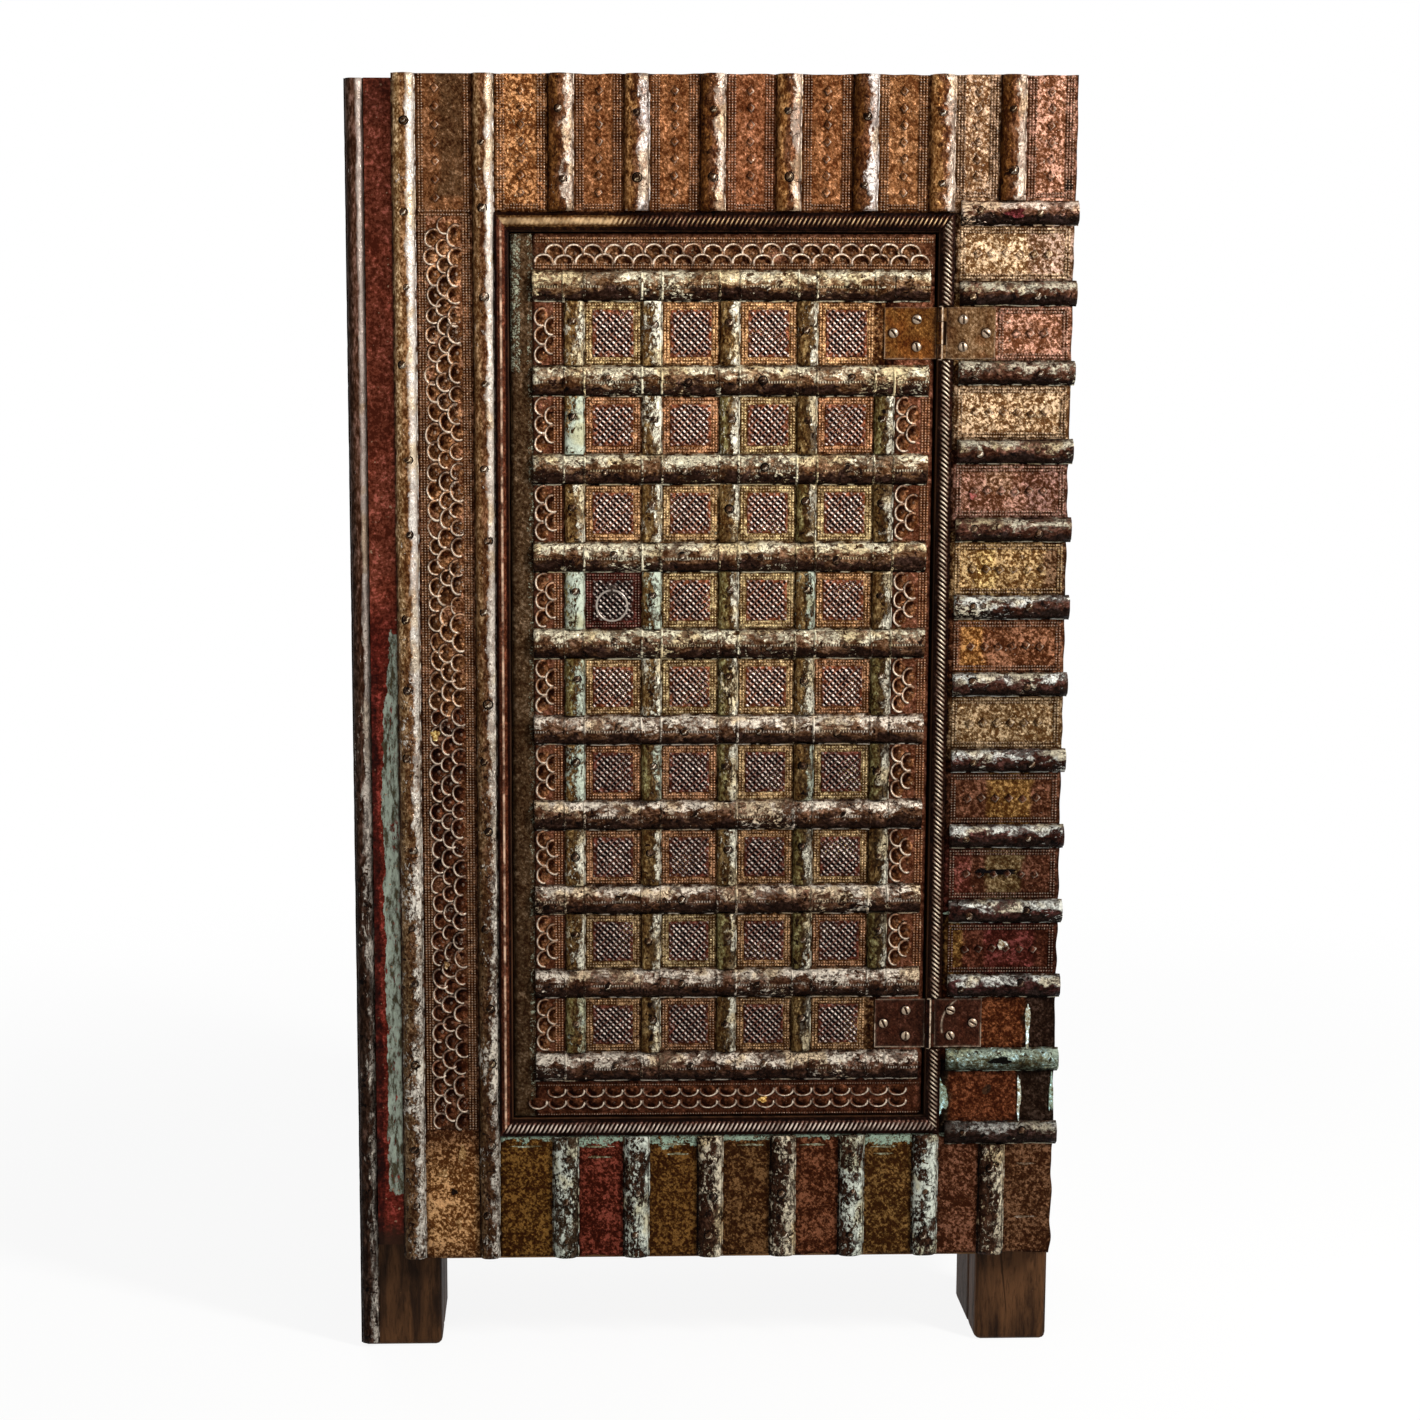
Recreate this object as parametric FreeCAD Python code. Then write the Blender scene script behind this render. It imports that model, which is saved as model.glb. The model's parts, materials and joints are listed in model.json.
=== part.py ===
import FreeCAD, Part
import math
import os

# Metal patchwork cabinet: an old embossed chest front, turned on its end, planted on a plank carcass.
# Millimetres. X runs to the right, Y to the back and Z up. The origin is on the floor under the middle.

Vector = FreeCAD.Vector
UP = Vector(0, 0, 1)
RIGHT = Vector(1, 0, 0)
BACK = Vector(0, 1, 0)
OUT = Vector(0, -1, 0)

# Front frame, from the floor up and from the left to the right
floor_gap = 140
bottom_rail_height = 200
door_height = 1201
door_top_gap = 2.5
door_bottom_gap = 2.5
top_rail_height = 204
outer_ridge_width = 31
scale_field_width = 74
inner_ridge_width = 29
door_latch_gap = 2
door_width = 563
door_hinge_gap = 5
right_stile_width = 181
overall_depth = 430

# Sheet metal and its half-round ridges
sheet_thickness = 1.2
core_thickness = 28.8
ridge_lip = 1.5
frame_ridge_height = 11
top_ridge_width = 35
bottom_ridge_width = 37
right_ridge_width = 33
right_ridge_count = 13
right_ridge_setback = 7
right_ridge_overhang = 4
ridge_end_gap = 2
worn_sheet_height = 184
plain_sheet_height = 180
top_ridge_place_shares = (0.114, 0.244, 0.374, 0.504, 0.636, 0.7675, 0.8895)
bottom_ridge_place_shares = (0.118, 0.2455, 0.3785, 0.51, 0.634, 0.7675, 0.888)

# Mouldings round the door opening
moulding_setback = 2
left_moulding_width = 17
right_moulding_width = 19
rail_moulding_width = 23
moulding_height = 10
moulding_fillet_height = 4.5
moulding_fillet_width = 3.5

# Strips on the left post
edge_strip_width = 26
edge_strip_height = 8
edge_strip_floor_gap = 6
painted_strip_width = 38
painted_strip_thickness = 3
painted_strip_floor_gap = 150
painted_strip_seam = 1082

# Carcass
left_post_width = 114
right_post_width = 102
right_post_reveal = 3
post_depth = 60
foot_depth = 166
foot_height = 128
foot_corner_radius = 12
rear_post_size = 50
side_thickness = 22
side_plank_count = 3
top_thickness = 22
top_board_count = 3
top_drop = 3
back_thickness = 12
back_plank_count = 6
board_thickness = 20
shelf_names = ("lower_shelf", "middle_shelf", "upper_shelf")
shelf_setback = 30
notch_clearance = 0.5
cleat_size = 22
plank_arris = 1.5

# Door
door_stop_gap = 0.3
door_plank_count = 5
door_edge_strip_width = 29
bar_width = 42
bar_height = 11
bar_count = 10
bar_end_gap = 6
first_bar_inset = 67.8
last_bar_inset = 71
top_row_extra = 7.4
upright_width = 28
upright_height = 8
upright_count = 5
first_upright_inset = 84
last_upright_inset = 65
batten_height = 60
batten_thickness = 18
batten_end_gap = 34
batten_place_shares = (0.09, 0.5, 0.91)

# Door stop and magnetic catch
stop_width = 32
stop_lap = 12
stop_thickness = 16
catch_length = 44
catch_width = 14
catch_gap = 0.3
catch_plate_length = 40
catch_plate_width = 18
catch_plate_thickness = 1
catch_height = 1000

# Hinges
hinge_height = 68
leaf_width = 74
leaf_thickness = 3
hinge_axis_inset = 3
knuckle_radius = 4
middle_knuckle_height = 30
knuckle_gap = 0.5
knuckle_notch_gap = 0.8
pin_radius = 1.6
pin_clearance = 0.05
pin_head_radius = 3
pin_crown_radius = 1.8
pin_head_height = 1.6
hinge_pocket_gap = 0.8
upper_hinge_row = 1
lower_hinge_row = 10
screw_near = 31
screw_far = 62
screw_spread = 18
screw_head_radius = 6
screw_crown_radius = 4
screw_head_height = 2.8
screw_shank_radius = 2.4
screw_shank_length = 20
screw_hole_gap = 0.05
screw_slot_width = 1.4
screw_slot_depth = 1.3
screw_slot_turns = (35, -20, 75, 15, -50, 60)

# Ring pull
ring_radius = 20.6
ring_wire_radius = 1.4
ring_section_sides = 6
pull_row = 3
pull_rise = 14.5
pull_shift = -1.75
pull_standoff = 9
eye_radius = 5.2
eye_gap = 0.5
eye_thickness = 3
boss_radius = 8
boss_crown_radius = 5
boss_height = 2.6
boss_stem_radius = 2.4
pull_shank_radius = 2
pull_shank_gap = 0.05
pull_shank_tail = 6
nut_width = 12
nut_thickness = 4

overrun = 5
peg_sides = 8

# Levels
facade_bottom = floor_gap
opening_bottom = facade_bottom + bottom_rail_height
door_bottom = opening_bottom + door_bottom_gap
door_top = door_bottom + door_height
opening_top = door_top + door_top_gap
facade_top = opening_top + top_rail_height
moulding_top = opening_top + moulding_setback + rail_moulding_width
moulding_bottom = opening_bottom - moulding_setback - rail_moulding_width
top_board_bottom = facade_top - top_drop - top_thickness
bottom_board_top = foot_height + board_thickness

# Places across the front
stile_field_width = outer_ridge_width + scale_field_width + inner_ridge_width
left_stile_width = stile_field_width + left_moulding_width + moulding_setback
facade_width = (
    left_stile_width + door_latch_gap + door_width + door_hinge_gap + right_stile_width
)
overall_width = edge_strip_width + painted_strip_width + facade_width + right_ridge_overhang
cabinet_left = -overall_width / 2
facade_left = cabinet_left + edge_strip_width + painted_strip_width
facade_right = facade_left + facade_width
carcass_right = facade_right + right_post_reveal
rail_left = facade_left + stile_field_width
opening_left = facade_left + left_stile_width
door_left = opening_left + door_latch_gap
door_right = door_left + door_width
opening_right = door_right + door_hinge_gap
moulding_right = opening_right + moulding_setback + right_moulding_width
left_post_right = cabinet_left + left_post_width
right_post_left = carcass_right - right_post_width
hinge_x = opening_right + hinge_axis_inset

# Places from the front to the back
sheet_front = -overall_depth / 2 + pull_standoff + eye_radius
core_front = sheet_front + sheet_thickness
post_front = core_front + core_thickness
post_back = post_front + post_depth
cabinet_back = overall_depth / 2
back_front = cabinet_back - back_thickness
rear_post_front = back_front - rear_post_size
door_back = post_front - door_stop_gap
hinge_y = sheet_front - knuckle_radius
leaf_front = core_front - leaf_thickness

# Rows and columns
right_ridge_pitch = (moulding_top - moulding_bottom) / (right_ridge_count - 1)
right_ridge_levels = [moulding_top - k * right_ridge_pitch for k in range(right_ridge_count)]
hinge_levels = [
    (right_ridge_levels[k] + right_ridge_levels[k + 1]) / 2
    for k in (upper_hinge_row, lower_hinge_row)
]
bar_pitch = (door_height - first_bar_inset - top_row_extra - last_bar_inset) / (bar_count - 1)
second_bar_level = door_bottom + last_bar_inset + (bar_count - 2) * bar_pitch
bar_levels = [door_top - first_bar_inset]
bar_levels += [second_bar_level - k * bar_pitch for k in range(bar_count - 1)]
upright_pitch = (door_width - first_upright_inset - last_upright_inset) / (upright_count - 1)
upright_places = [door_left + first_upright_inset + k * upright_pitch for k in range(upright_count)]
pull_x = (upright_places[0] + upright_places[1]) / 2 + pull_shift
pull_z = (bar_levels[pull_row] + bar_levels[pull_row + 1]) / 2 + pull_rise
shelf_step = (top_board_bottom - bottom_board_top + board_thickness) / (len(shelf_names) + 1)


def export(name, *solids):
    """Writes one sub-part, which may be a group of separate solids."""
    shape = solids[0] if len(solids) == 1 else Part.makeCompound(list(solids))
    shape.exportStep("parts/" + name + ".step")


def box(left, right, front, back, bottom, top):
    return Part.makeBox(right - left, back - front, top - bottom, Vector(left, front, bottom))


def edges_along(shape, direction):
    """The straight edges of a shape that run along a direction."""
    found = []
    for edge in shape.Edges:
        run = edge.Vertexes[-1].Point - edge.Vertexes[0].Point
        if run.Length > 0 and run.cross(direction).Length < run.Length * 1e-6:
            found.append(edge)
    return found


def eased(shape, direction):
    """A plank with its long edges taken off."""
    return shape.makeChamfer(plank_arris, edges_along(shape, direction))


def ridge(foot, along, across, length, width, height):
    """A half-round ridge: foot is the middle of its base at one end."""
    half = width / 2
    crown = foot + OUT * height
    corners = [
        foot - across * half,
        foot - across * half + OUT * ridge_lip,
        foot + across * half + OUT * ridge_lip,
        foot + across * half,
    ]
    edges = [
        Part.makeLine(corners[0], corners[1]),
        Part.Arc(corners[1], crown, corners[2]).toShape(),
        Part.makeLine(corners[2], corners[3]),
        Part.makeLine(corners[3], corners[0]),
    ]
    return Part.Face(Part.Wire(edges)).extrude(along * length)


def upright_ridge(x, bottom, top, width, height):
    return ridge(Vector(x, sheet_front, bottom), UP, RIGHT, top - bottom, width, height)


def level_ridge(left, right, z, width, height):
    return ridge(Vector(left, sheet_front, z), RIGHT, UP, right - left, width, height)


def hinge_pocket(z):
    """The room that a hinge needs in the sheets, the ridges and the moulding round it."""
    reach = leaf_width + hinge_pocket_gap
    rise = hinge_height / 2 + hinge_pocket_gap
    return box(
        hinge_x - reach, hinge_x + reach, sheet_front - moulding_height - overrun, core_front,
        z - rise, z + rise,
    )


def pin_head_pocket(z):
    """The room that the two heads of a hinge pin need beyond the hinge's own pocket."""
    reach = pin_head_radius + hinge_pocket_gap
    rise = hinge_height / 2 + pin_head_height + hinge_pocket_gap
    return box(
        hinge_x - reach, hinge_x + reach, sheet_front - moulding_height - overrun, core_front,
        z - rise, z + rise,
    )


def clear_of_hinges(shape):
    for z in hinge_levels:
        shape = shape.cut(hinge_pocket(z)).cut(pin_head_pocket(z))
    return shape.Solids


def screw_places(z, side):
    """Where the three screws of one leaf stand: side is 1 on the frame leaf and -1 on the door leaf."""
    return [
        (hinge_x + side * screw_near, z + screw_spread),
        (hinge_x + side * screw_far, z),
        (hinge_x + side * screw_near, z - screw_spread),
    ]


def peg(radius, crown_radius, length):
    """A many-sided peg along Z, standing on the origin and narrowing to its crown."""
    rings = []
    for reach, height in ((radius, 0), (crown_radius, length)):
        corners = []
        for k in range(peg_sides + 1):
            turn = 2 * math.pi * k / peg_sides
            corners.append(Vector(reach * math.cos(turn), reach * math.sin(turn), height))
        rings.append(Part.makePolygon(corners))
    return Part.makeLoft(rings, True, True)


def facing_out(shape, x, y, z):
    """Turns a shape made along Z to point out of the front, and puts its origin in place."""
    shape.rotate(Vector(0, 0, 0), RIGHT, 90)
    shape.translate(Vector(x, y, z))
    return shape


def with_screw_holes(shape, side):
    for z in hinge_levels:
        for x, level in screw_places(z, side):
            radius = screw_shank_radius + screw_hole_gap
            hole = peg(radius, radius, screw_shank_length + screw_hole_gap + overrun)
            back = leaf_front + screw_shank_length + screw_hole_gap
            shape = shape.cut(facing_out(hole, x, back, level))
    return shape


def slotted_screw(x, z, turn):
    head = peg(screw_head_radius, screw_crown_radius, screw_head_height)
    shank = peg(screw_shank_radius, screw_shank_radius, screw_shank_length)
    shank.translate(Vector(0, 0, -screw_shank_length))
    slot = Part.makeBox(
        2 * screw_head_radius, screw_slot_width, screw_head_height,
        Vector(-screw_head_radius, -screw_slot_width / 2, screw_head_height - screw_slot_depth),
    )
    slot.rotate(Vector(0, 0, 0), UP, turn)
    return facing_out(head.cut(slot).fuse(shank), x, leaf_front, z)


# Carcass
def rounded_foot(shape):
    """Rounds the two lower edges that run from the front to the back."""
    low_edges = [e for e in edges_along(shape, BACK) if e.BoundBox.ZMax < foot_corner_radius]
    return shape.makeFillet(foot_corner_radius, low_edges)


def make_posts():
    left_post = box(cabinet_left, left_post_right, post_front, post_back, 0, top_board_bottom)
    right_post = box(right_post_left, carcass_right, post_front, post_back, 0, top_board_bottom)
    export("front_left_post", rounded_foot(left_post))
    export("front_right_post", rounded_foot(right_post))
    foot_back = post_front + foot_depth
    left_block = box(cabinet_left, left_post_right, post_back, foot_back, 0, foot_height)
    right_block = box(right_post_left, carcass_right, post_back, foot_back, 0, foot_height)
    export("front_foot_blocks", rounded_foot(left_block), rounded_foot(right_block))
    rear_posts = [
        box(x, x + rear_post_size, rear_post_front, back_front, 0, top_board_bottom)
        for x in (cabinet_left, carcass_right - rear_post_size)
    ]
    export("rear_posts", *rear_posts)


def make_side(name, left):
    plank_width = (rear_post_front - post_back) / side_plank_count
    planks = []
    for k in range(side_plank_count):
        front = post_back + k * plank_width
        plank = box(left, left + side_thickness, front, front + plank_width, foot_height, top_board_bottom)
        planks.append(eased(plank, UP))
    export(name, *planks)


def make_top():
    width = (cabinet_back - post_front) / top_board_count
    boards = []
    for k in range(top_board_count):
        front = post_front + k * width
        board = box(
            cabinet_left, carcass_right, front, front + width, top_board_bottom, facade_top - top_drop
        )
        boards.append(eased(board, RIGHT))
    export("top_boards", *boards)


def make_back():
    width = (carcass_right - cabinet_left) / back_plank_count
    planks = []
    for k in range(back_plank_count):
        left = cabinet_left + k * width
        plank = box(left, left + width, back_front, cabinet_back, foot_height, top_board_bottom)
        planks.append(eased(plank, UP))
    export("back_planks", *planks)


def notched_board(front, bottom):
    """A board between the side planks, notched round the four posts."""
    top = bottom + board_thickness
    left = cabinet_left + side_thickness
    right = carcass_right - side_thickness
    board = box(left, right, front, back_front, bottom, top)
    low = bottom - overrun
    high = top + overrun
    post_notch_back = post_back + notch_clearance
    rear_notch_front = rear_post_front - notch_clearance
    rear_left_edge = cabinet_left + rear_post_size + notch_clearance
    rear_right_edge = carcass_right - rear_post_size - notch_clearance
    notches = [
        box(left - overrun, left_post_right + notch_clearance, front - overrun, post_notch_back, low, high),
        box(right_post_left - notch_clearance, right + overrun, front - overrun, post_notch_back, low, high),
        box(left - overrun, rear_left_edge, rear_notch_front, back_front + overrun, low, high),
        box(rear_right_edge, right + overrun, rear_notch_front, back_front + overrun, low, high),
    ]
    for notch in notches:
        board = board.cut(notch)
    return board


def make_boards():
    export("bottom_board", notched_board(post_front, foot_height))
    cleats = []
    for k, name in enumerate(shelf_names):
        bottom = bottom_board_top + (k + 1) * shelf_step - board_thickness
        export(name, notched_board(post_front + shelf_setback, bottom))
        left = cabinet_left + side_thickness
        right = carcass_right - side_thickness
        for cleat_left in (left, right - cleat_size):
            cleats.append(
                box(
                    cleat_left, cleat_left + cleat_size, post_back, rear_post_front,
                    bottom - cleat_size, bottom,
                )
            )
    export("shelf_cleats", *cleats)


def make_post_strips():
    middle = Vector(cabinet_left + edge_strip_width / 2, post_front, edge_strip_floor_gap)
    length = facade_top - top_drop - edge_strip_floor_gap
    export("post_edge_strip", ridge(middle, UP, RIGHT, length, edge_strip_width, edge_strip_height))
    left = cabinet_left + edge_strip_width
    front = post_front - painted_strip_thickness
    export(
        "post_painted_strip",
        box(left, facade_left, front, post_front, painted_strip_floor_gap, painted_strip_seam),
        box(left, facade_left, front, post_front, painted_strip_seam, facade_top - top_drop),
    )


# Front frame
def make_frame():
    export("left_stile", box(facade_left, opening_left, core_front, post_front, facade_bottom, facade_top))
    export("top_rail", box(opening_left, facade_right, core_front, post_front, opening_top, facade_top))
    right_stile = box(opening_right, facade_right, core_front, post_front, opening_bottom, opening_top)
    export("right_stile", with_screw_holes(right_stile, 1))
    bottom_rail = box(opening_left, facade_right, core_front, post_front, facade_bottom, opening_bottom)
    export("bottom_rail", bottom_rail)


def sheet(left, right, bottom, top):
    return box(left, right, sheet_front, core_front, bottom, top)


def make_left_stile_cover():
    levels = [
        facade_bottom,
        facade_bottom + worn_sheet_height,
        facade_top - plain_sheet_height,
        facade_top,
    ]
    sheets = [sheet(facade_left, rail_left, low, high) for low, high in zip(levels, levels[1:])]
    export("left_stile_sheets", *sheets)
    export(
        "left_stile_ridges",
        upright_ridge(
            facade_left + outer_ridge_width / 2, facade_bottom, facade_top,
            outer_ridge_width, frame_ridge_height,
        ),
        upright_ridge(
            rail_left - inner_ridge_width / 2, facade_bottom, facade_top,
            inner_ridge_width, frame_ridge_height,
        ),
    )


def rail_ridge_places(shares):
    return [rail_left + share * (facade_right - rail_left) for share in shares]


def make_top_rail_cover():
    places = rail_ridge_places(top_ridge_place_shares)
    edges = [rail_left] + places + [facade_right]
    export("top_rail_sheets", *[sheet(a, b, moulding_top, facade_top) for a, b in zip(edges, edges[1:])])
    ridges = []
    for x in places:
        foot = moulding_top + ridge_end_gap
        if x + top_ridge_width / 2 > moulding_right + right_ridge_setback:
            foot = right_ridge_levels[0] + right_ridge_width / 2
        ridges.append(upright_ridge(x, foot, facade_top, top_ridge_width, frame_ridge_height))
    export("top_rail_ridges", *ridges)


def make_bottom_rail_cover():
    places = rail_ridge_places(bottom_ridge_place_shares)
    edges = [rail_left] + places + [facade_right]
    sheets = [sheet(a, b, facade_bottom, moulding_bottom) for a, b in zip(edges, edges[1:])]
    export("bottom_rail_sheets", *sheets)
    ridges = []
    for x in places:
        head = moulding_bottom - ridge_end_gap
        if x + bottom_ridge_width / 2 > moulding_right + right_ridge_setback:
            head = right_ridge_levels[-1] - right_ridge_width / 2
        ridges.append(upright_ridge(x, facade_bottom, head, bottom_ridge_width, frame_ridge_height))
    export("bottom_rail_ridges", *ridges)


def make_right_stile_cover():
    sheets = [
        sheet(moulding_right, facade_right, low, high)
        for high, low in zip(right_ridge_levels, right_ridge_levels[1:])
    ]
    export("right_stile_sheets", *[solid for one in sheets for solid in clear_of_hinges(one)])
    left = moulding_right + right_ridge_setback
    right = facade_right + right_ridge_overhang
    ridges = []
    for z in right_ridge_levels:
        ridges += clear_of_hinges(level_ridge(left, right, z, right_ridge_width, frame_ridge_height))
    export("right_stile_ridges", *ridges)


def moulding(outer_start, outer_end, inner_start, inner_end):
    """One mitred length of moulding: a bead between two fillets, cut to the four corners given."""
    along = (outer_end - outer_start).normalize()
    across = (inner_start - outer_start) - along * (inner_start - outer_start).dot(along)
    width = across.Length
    across = across.normalize()
    start = min((outer_start.dot(along), inner_start.dot(along)))
    end = max((outer_end.dot(along), inner_end.dot(along)))
    corner = outer_start + along * (start - outer_start.dot(along))
    outline = [
        (0, 0),
        (0, moulding_fillet_height),
        (moulding_fillet_width, moulding_fillet_height),
        (width - moulding_fillet_width, moulding_fillet_height),
        (width, moulding_fillet_height),
        (width, 0),
    ]
    points = [corner + across * place + OUT * rise for place, rise in outline]
    crown = corner + across * (width / 2) + OUT * moulding_height
    edges = [
        Part.makeLine(points[0], points[1]),
        Part.makeLine(points[1], points[2]),
        Part.Arc(points[2], crown, points[3]).toShape(),
        Part.makeLine(points[3], points[4]),
        Part.makeLine(points[4], points[5]),
        Part.makeLine(points[5], points[0]),
    ]
    bar = Part.Face(Part.Wire(edges)).extrude(along * (end - start))
    plan = Part.makePolygon([outer_start, outer_end, inner_end, inner_start, outer_start])
    mitre = Part.Face(plan).extrude(OUT * (moulding_height + overrun))
    return bar.common(mitre).Solids[0]


def make_mouldings():
    outer_left = rail_left
    inner_left = rail_left + left_moulding_width
    inner_right = moulding_right - right_moulding_width
    inner_top = moulding_top - rail_moulding_width
    inner_bottom = moulding_bottom + rail_moulding_width
    outer = [
        Vector(x, core_front, z)
        for x, z in (
            (outer_left, moulding_bottom),
            (moulding_right, moulding_bottom),
            (moulding_right, moulding_top),
            (outer_left, moulding_top),
        )
    ]
    inner = [
        Vector(x, core_front, z)
        for x, z in (
            (inner_left, inner_bottom),
            (inner_right, inner_bottom),
            (inner_right, inner_top),
            (inner_left, inner_top),
        )
    ]
    export("bottom_moulding", moulding(outer[0], outer[1], inner[0], inner[1]))
    export("right_moulding", *clear_of_hinges(moulding(outer[1], outer[2], inner[1], inner[2])))
    export("top_moulding", moulding(outer[2], outer[3], inner[2], inner[3]))
    export("left_moulding", moulding(outer[3], outer[0], inner[3], inner[0]))


# Door
def pull_hole(shape):
    """Lets the shank of the ring pull through a piece of the door."""
    radius = pull_shank_radius + pull_shank_gap
    start = door_back + nut_thickness + overrun
    hole = peg(radius, radius, start - sheet_front + overrun)
    return shape.cut(facing_out(hole, pull_x, start, pull_z))


def make_door_boards():
    width = door_width / door_plank_count
    planks = []
    for k in range(door_plank_count):
        left = door_left + k * width
        plank = eased(box(left, left + width, core_front, door_back, door_bottom, door_top), UP)
        planks.append(pull_hole(with_screw_holes(plank, -1)))
    export("door_planks", *planks)
    battens = []
    for share in batten_place_shares:
        middle = door_bottom + share * door_height
        batten = box(
            door_left + stop_lap + batten_end_gap, door_right - batten_end_gap, door_back,
            door_back + batten_thickness, middle - batten_height / 2, middle + batten_height / 2,
        )
        battens.append(eased(batten, RIGHT))
    export("door_battens", *battens)


def make_door_sheets():
    strip_right = door_left + door_edge_strip_width
    first_bar = bar_levels[0]
    last_bar = bar_levels[-1]
    first_upright = upright_places[0]
    last_upright = upright_places[-1]
    export("door_edge_strip", sheet(door_left, strip_right, door_bottom, door_top))
    top_band = sheet(strip_right, door_right, first_bar, door_top)
    bottom_band = sheet(strip_right, door_right, door_bottom, last_bar)
    right_column = sheet(last_upright, door_right, last_bar, first_bar)
    export("door_top_scale_band", *clear_of_hinges(top_band))
    export("door_bottom_scale_band", *clear_of_hinges(bottom_band))
    export("door_left_scale_column", sheet(strip_right, first_upright, last_bar, first_bar))
    export("door_right_scale_column", *clear_of_hinges(right_column))
    panels = []
    for high, low in zip(bar_levels, bar_levels[1:]):
        for left, right in zip(upright_places, upright_places[1:]):
            panels += clear_of_hinges(pull_hole(sheet(left, right, low, high)))
    export("door_lattice_sheets", *panels)


def make_door_ridges():
    left = door_left + door_edge_strip_width
    right = door_right - bar_end_gap
    bars = []
    for z in bar_levels:
        bars += clear_of_hinges(level_ridge(left, right, z, bar_width, bar_height))
    export("door_cross_bars", *bars)
    uprights = []
    for high, low in zip(bar_levels, bar_levels[1:]):
        for x in upright_places:
            piece = upright_ridge(x, low + bar_width / 2, high - bar_width / 2, upright_width, upright_height)
            uprights += clear_of_hinges(piece)
    export("door_upright_ridges", *uprights)


# Hinges
def knuckle(bottom, top):
    return Part.makeCylinder(knuckle_radius, top - bottom, Vector(hinge_x, hinge_y, bottom), UP)


def pin_bore(z):
    height = hinge_height + overrun
    return Part.makeCylinder(
        pin_radius + pin_clearance, height, Vector(hinge_x, hinge_y, z - height / 2), UP
    )


def knuckle_room(bottom, top):
    """The notch in one leaf for the other leaf's knuckle."""
    reach = knuckle_radius + knuckle_notch_gap
    front = sheet_front - 2 * knuckle_radius - overrun
    return box(hinge_x - reach, hinge_x + reach, front, core_front + overrun, bottom, top)


def frame_leaf(z):
    low = z - hinge_height / 2
    high = z + hinge_height / 2
    inner_low = z - middle_knuckle_height / 2 - knuckle_gap
    inner_high = z + middle_knuckle_height / 2 + knuckle_gap
    plate = box(hinge_x, hinge_x + leaf_width, leaf_front, core_front, low, high)
    plate = plate.cut(knuckle_room(inner_low, inner_high))
    leaf = plate.fuse([knuckle(low, inner_low), knuckle(inner_high, high)]).cut(pin_bore(z))
    return with_screw_holes(leaf, 1)


def door_leaf(z):
    low = z - hinge_height / 2
    high = z + hinge_height / 2
    inner_low = z - middle_knuckle_height / 2
    inner_high = z + middle_knuckle_height / 2
    plate = box(hinge_x - leaf_width, hinge_x, leaf_front, core_front, low, high)
    plate = plate.cut(knuckle_room(low - overrun, inner_low))
    plate = plate.cut(knuckle_room(inner_high, high + overrun))
    leaf = plate.fuse(knuckle(inner_low, inner_high)).cut(pin_bore(z))
    return with_screw_holes(leaf, -1)


def hinge_pin(z):
    low = z - hinge_height / 2
    high = z + hinge_height / 2
    pin = Part.makeCylinder(pin_radius, hinge_height, Vector(hinge_x, hinge_y, low), UP)
    upper_head = peg(pin_head_radius, pin_crown_radius, pin_head_height)
    upper_head.translate(Vector(hinge_x, hinge_y, high))
    lower_head = peg(pin_crown_radius, pin_head_radius, pin_head_height)
    lower_head.translate(Vector(hinge_x, hinge_y, low - pin_head_height))
    return pin.fuse([upper_head, lower_head])


def hinge_screws(side):
    places = [place for z in hinge_levels for place in screw_places(z, side)]
    return [slotted_screw(x, z, side * turn) for (x, z), turn in zip(places, screw_slot_turns)]


def make_hinges():
    export("hinge_frame_leaves", *[frame_leaf(z) for z in hinge_levels])
    export("hinge_door_leaves", *[door_leaf(z) for z in hinge_levels])
    export("hinge_pins", *[hinge_pin(z) for z in hinge_levels])
    export("hinge_frame_screws", *hinge_screws(1))
    export("hinge_door_screws", *hinge_screws(-1))


# Ring pull
def make_ring_pull():
    eye_y = sheet_front - pull_standoff
    eye_end = Vector(pull_x - eye_thickness / 2, eye_y, pull_z)
    eye = Part.makeCylinder(eye_radius, eye_thickness, eye_end, RIGHT)
    hole_length = eye_thickness + 2 * overrun
    hole = Part.makeCylinder(ring_wire_radius + eye_gap, hole_length, eye_end - RIGHT * overrun, RIGHT)
    rosette = peg(boss_radius, boss_crown_radius, boss_height)
    stem = peg(boss_stem_radius, boss_stem_radius, pull_standoff - eye_radius / 2)
    shank_length = door_back + pull_shank_tail - sheet_front
    shank = peg(pull_shank_radius, pull_shank_radius, shank_length)
    shank.translate(Vector(0, 0, -shank_length))
    boss = facing_out(rosette.fuse([stem, shank]), pull_x, sheet_front, pull_z)
    export("pull_boss", boss.fuse(eye).cut(hole))
    nut = box(
        pull_x - nut_width / 2, pull_x + nut_width / 2, door_back, door_back + nut_thickness,
        pull_z - nut_width / 2, pull_z + nut_width / 2,
    )
    export("pull_nut", pull_hole(nut))
    ring_centre = Vector(pull_x, eye_y, pull_z - ring_radius)
    section = []
    for k in range(ring_section_sides + 1):
        turn = 2 * math.pi * k / ring_section_sides
        section.append(
            ring_centre
            + UP * (ring_radius + ring_wire_radius * math.cos(turn))
            + OUT * (ring_wire_radius * math.sin(turn))
        )
    ring = Part.Face(Part.makePolygon(section)).revolve(ring_centre, BACK, 360)
    export("ring", ring)


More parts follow.
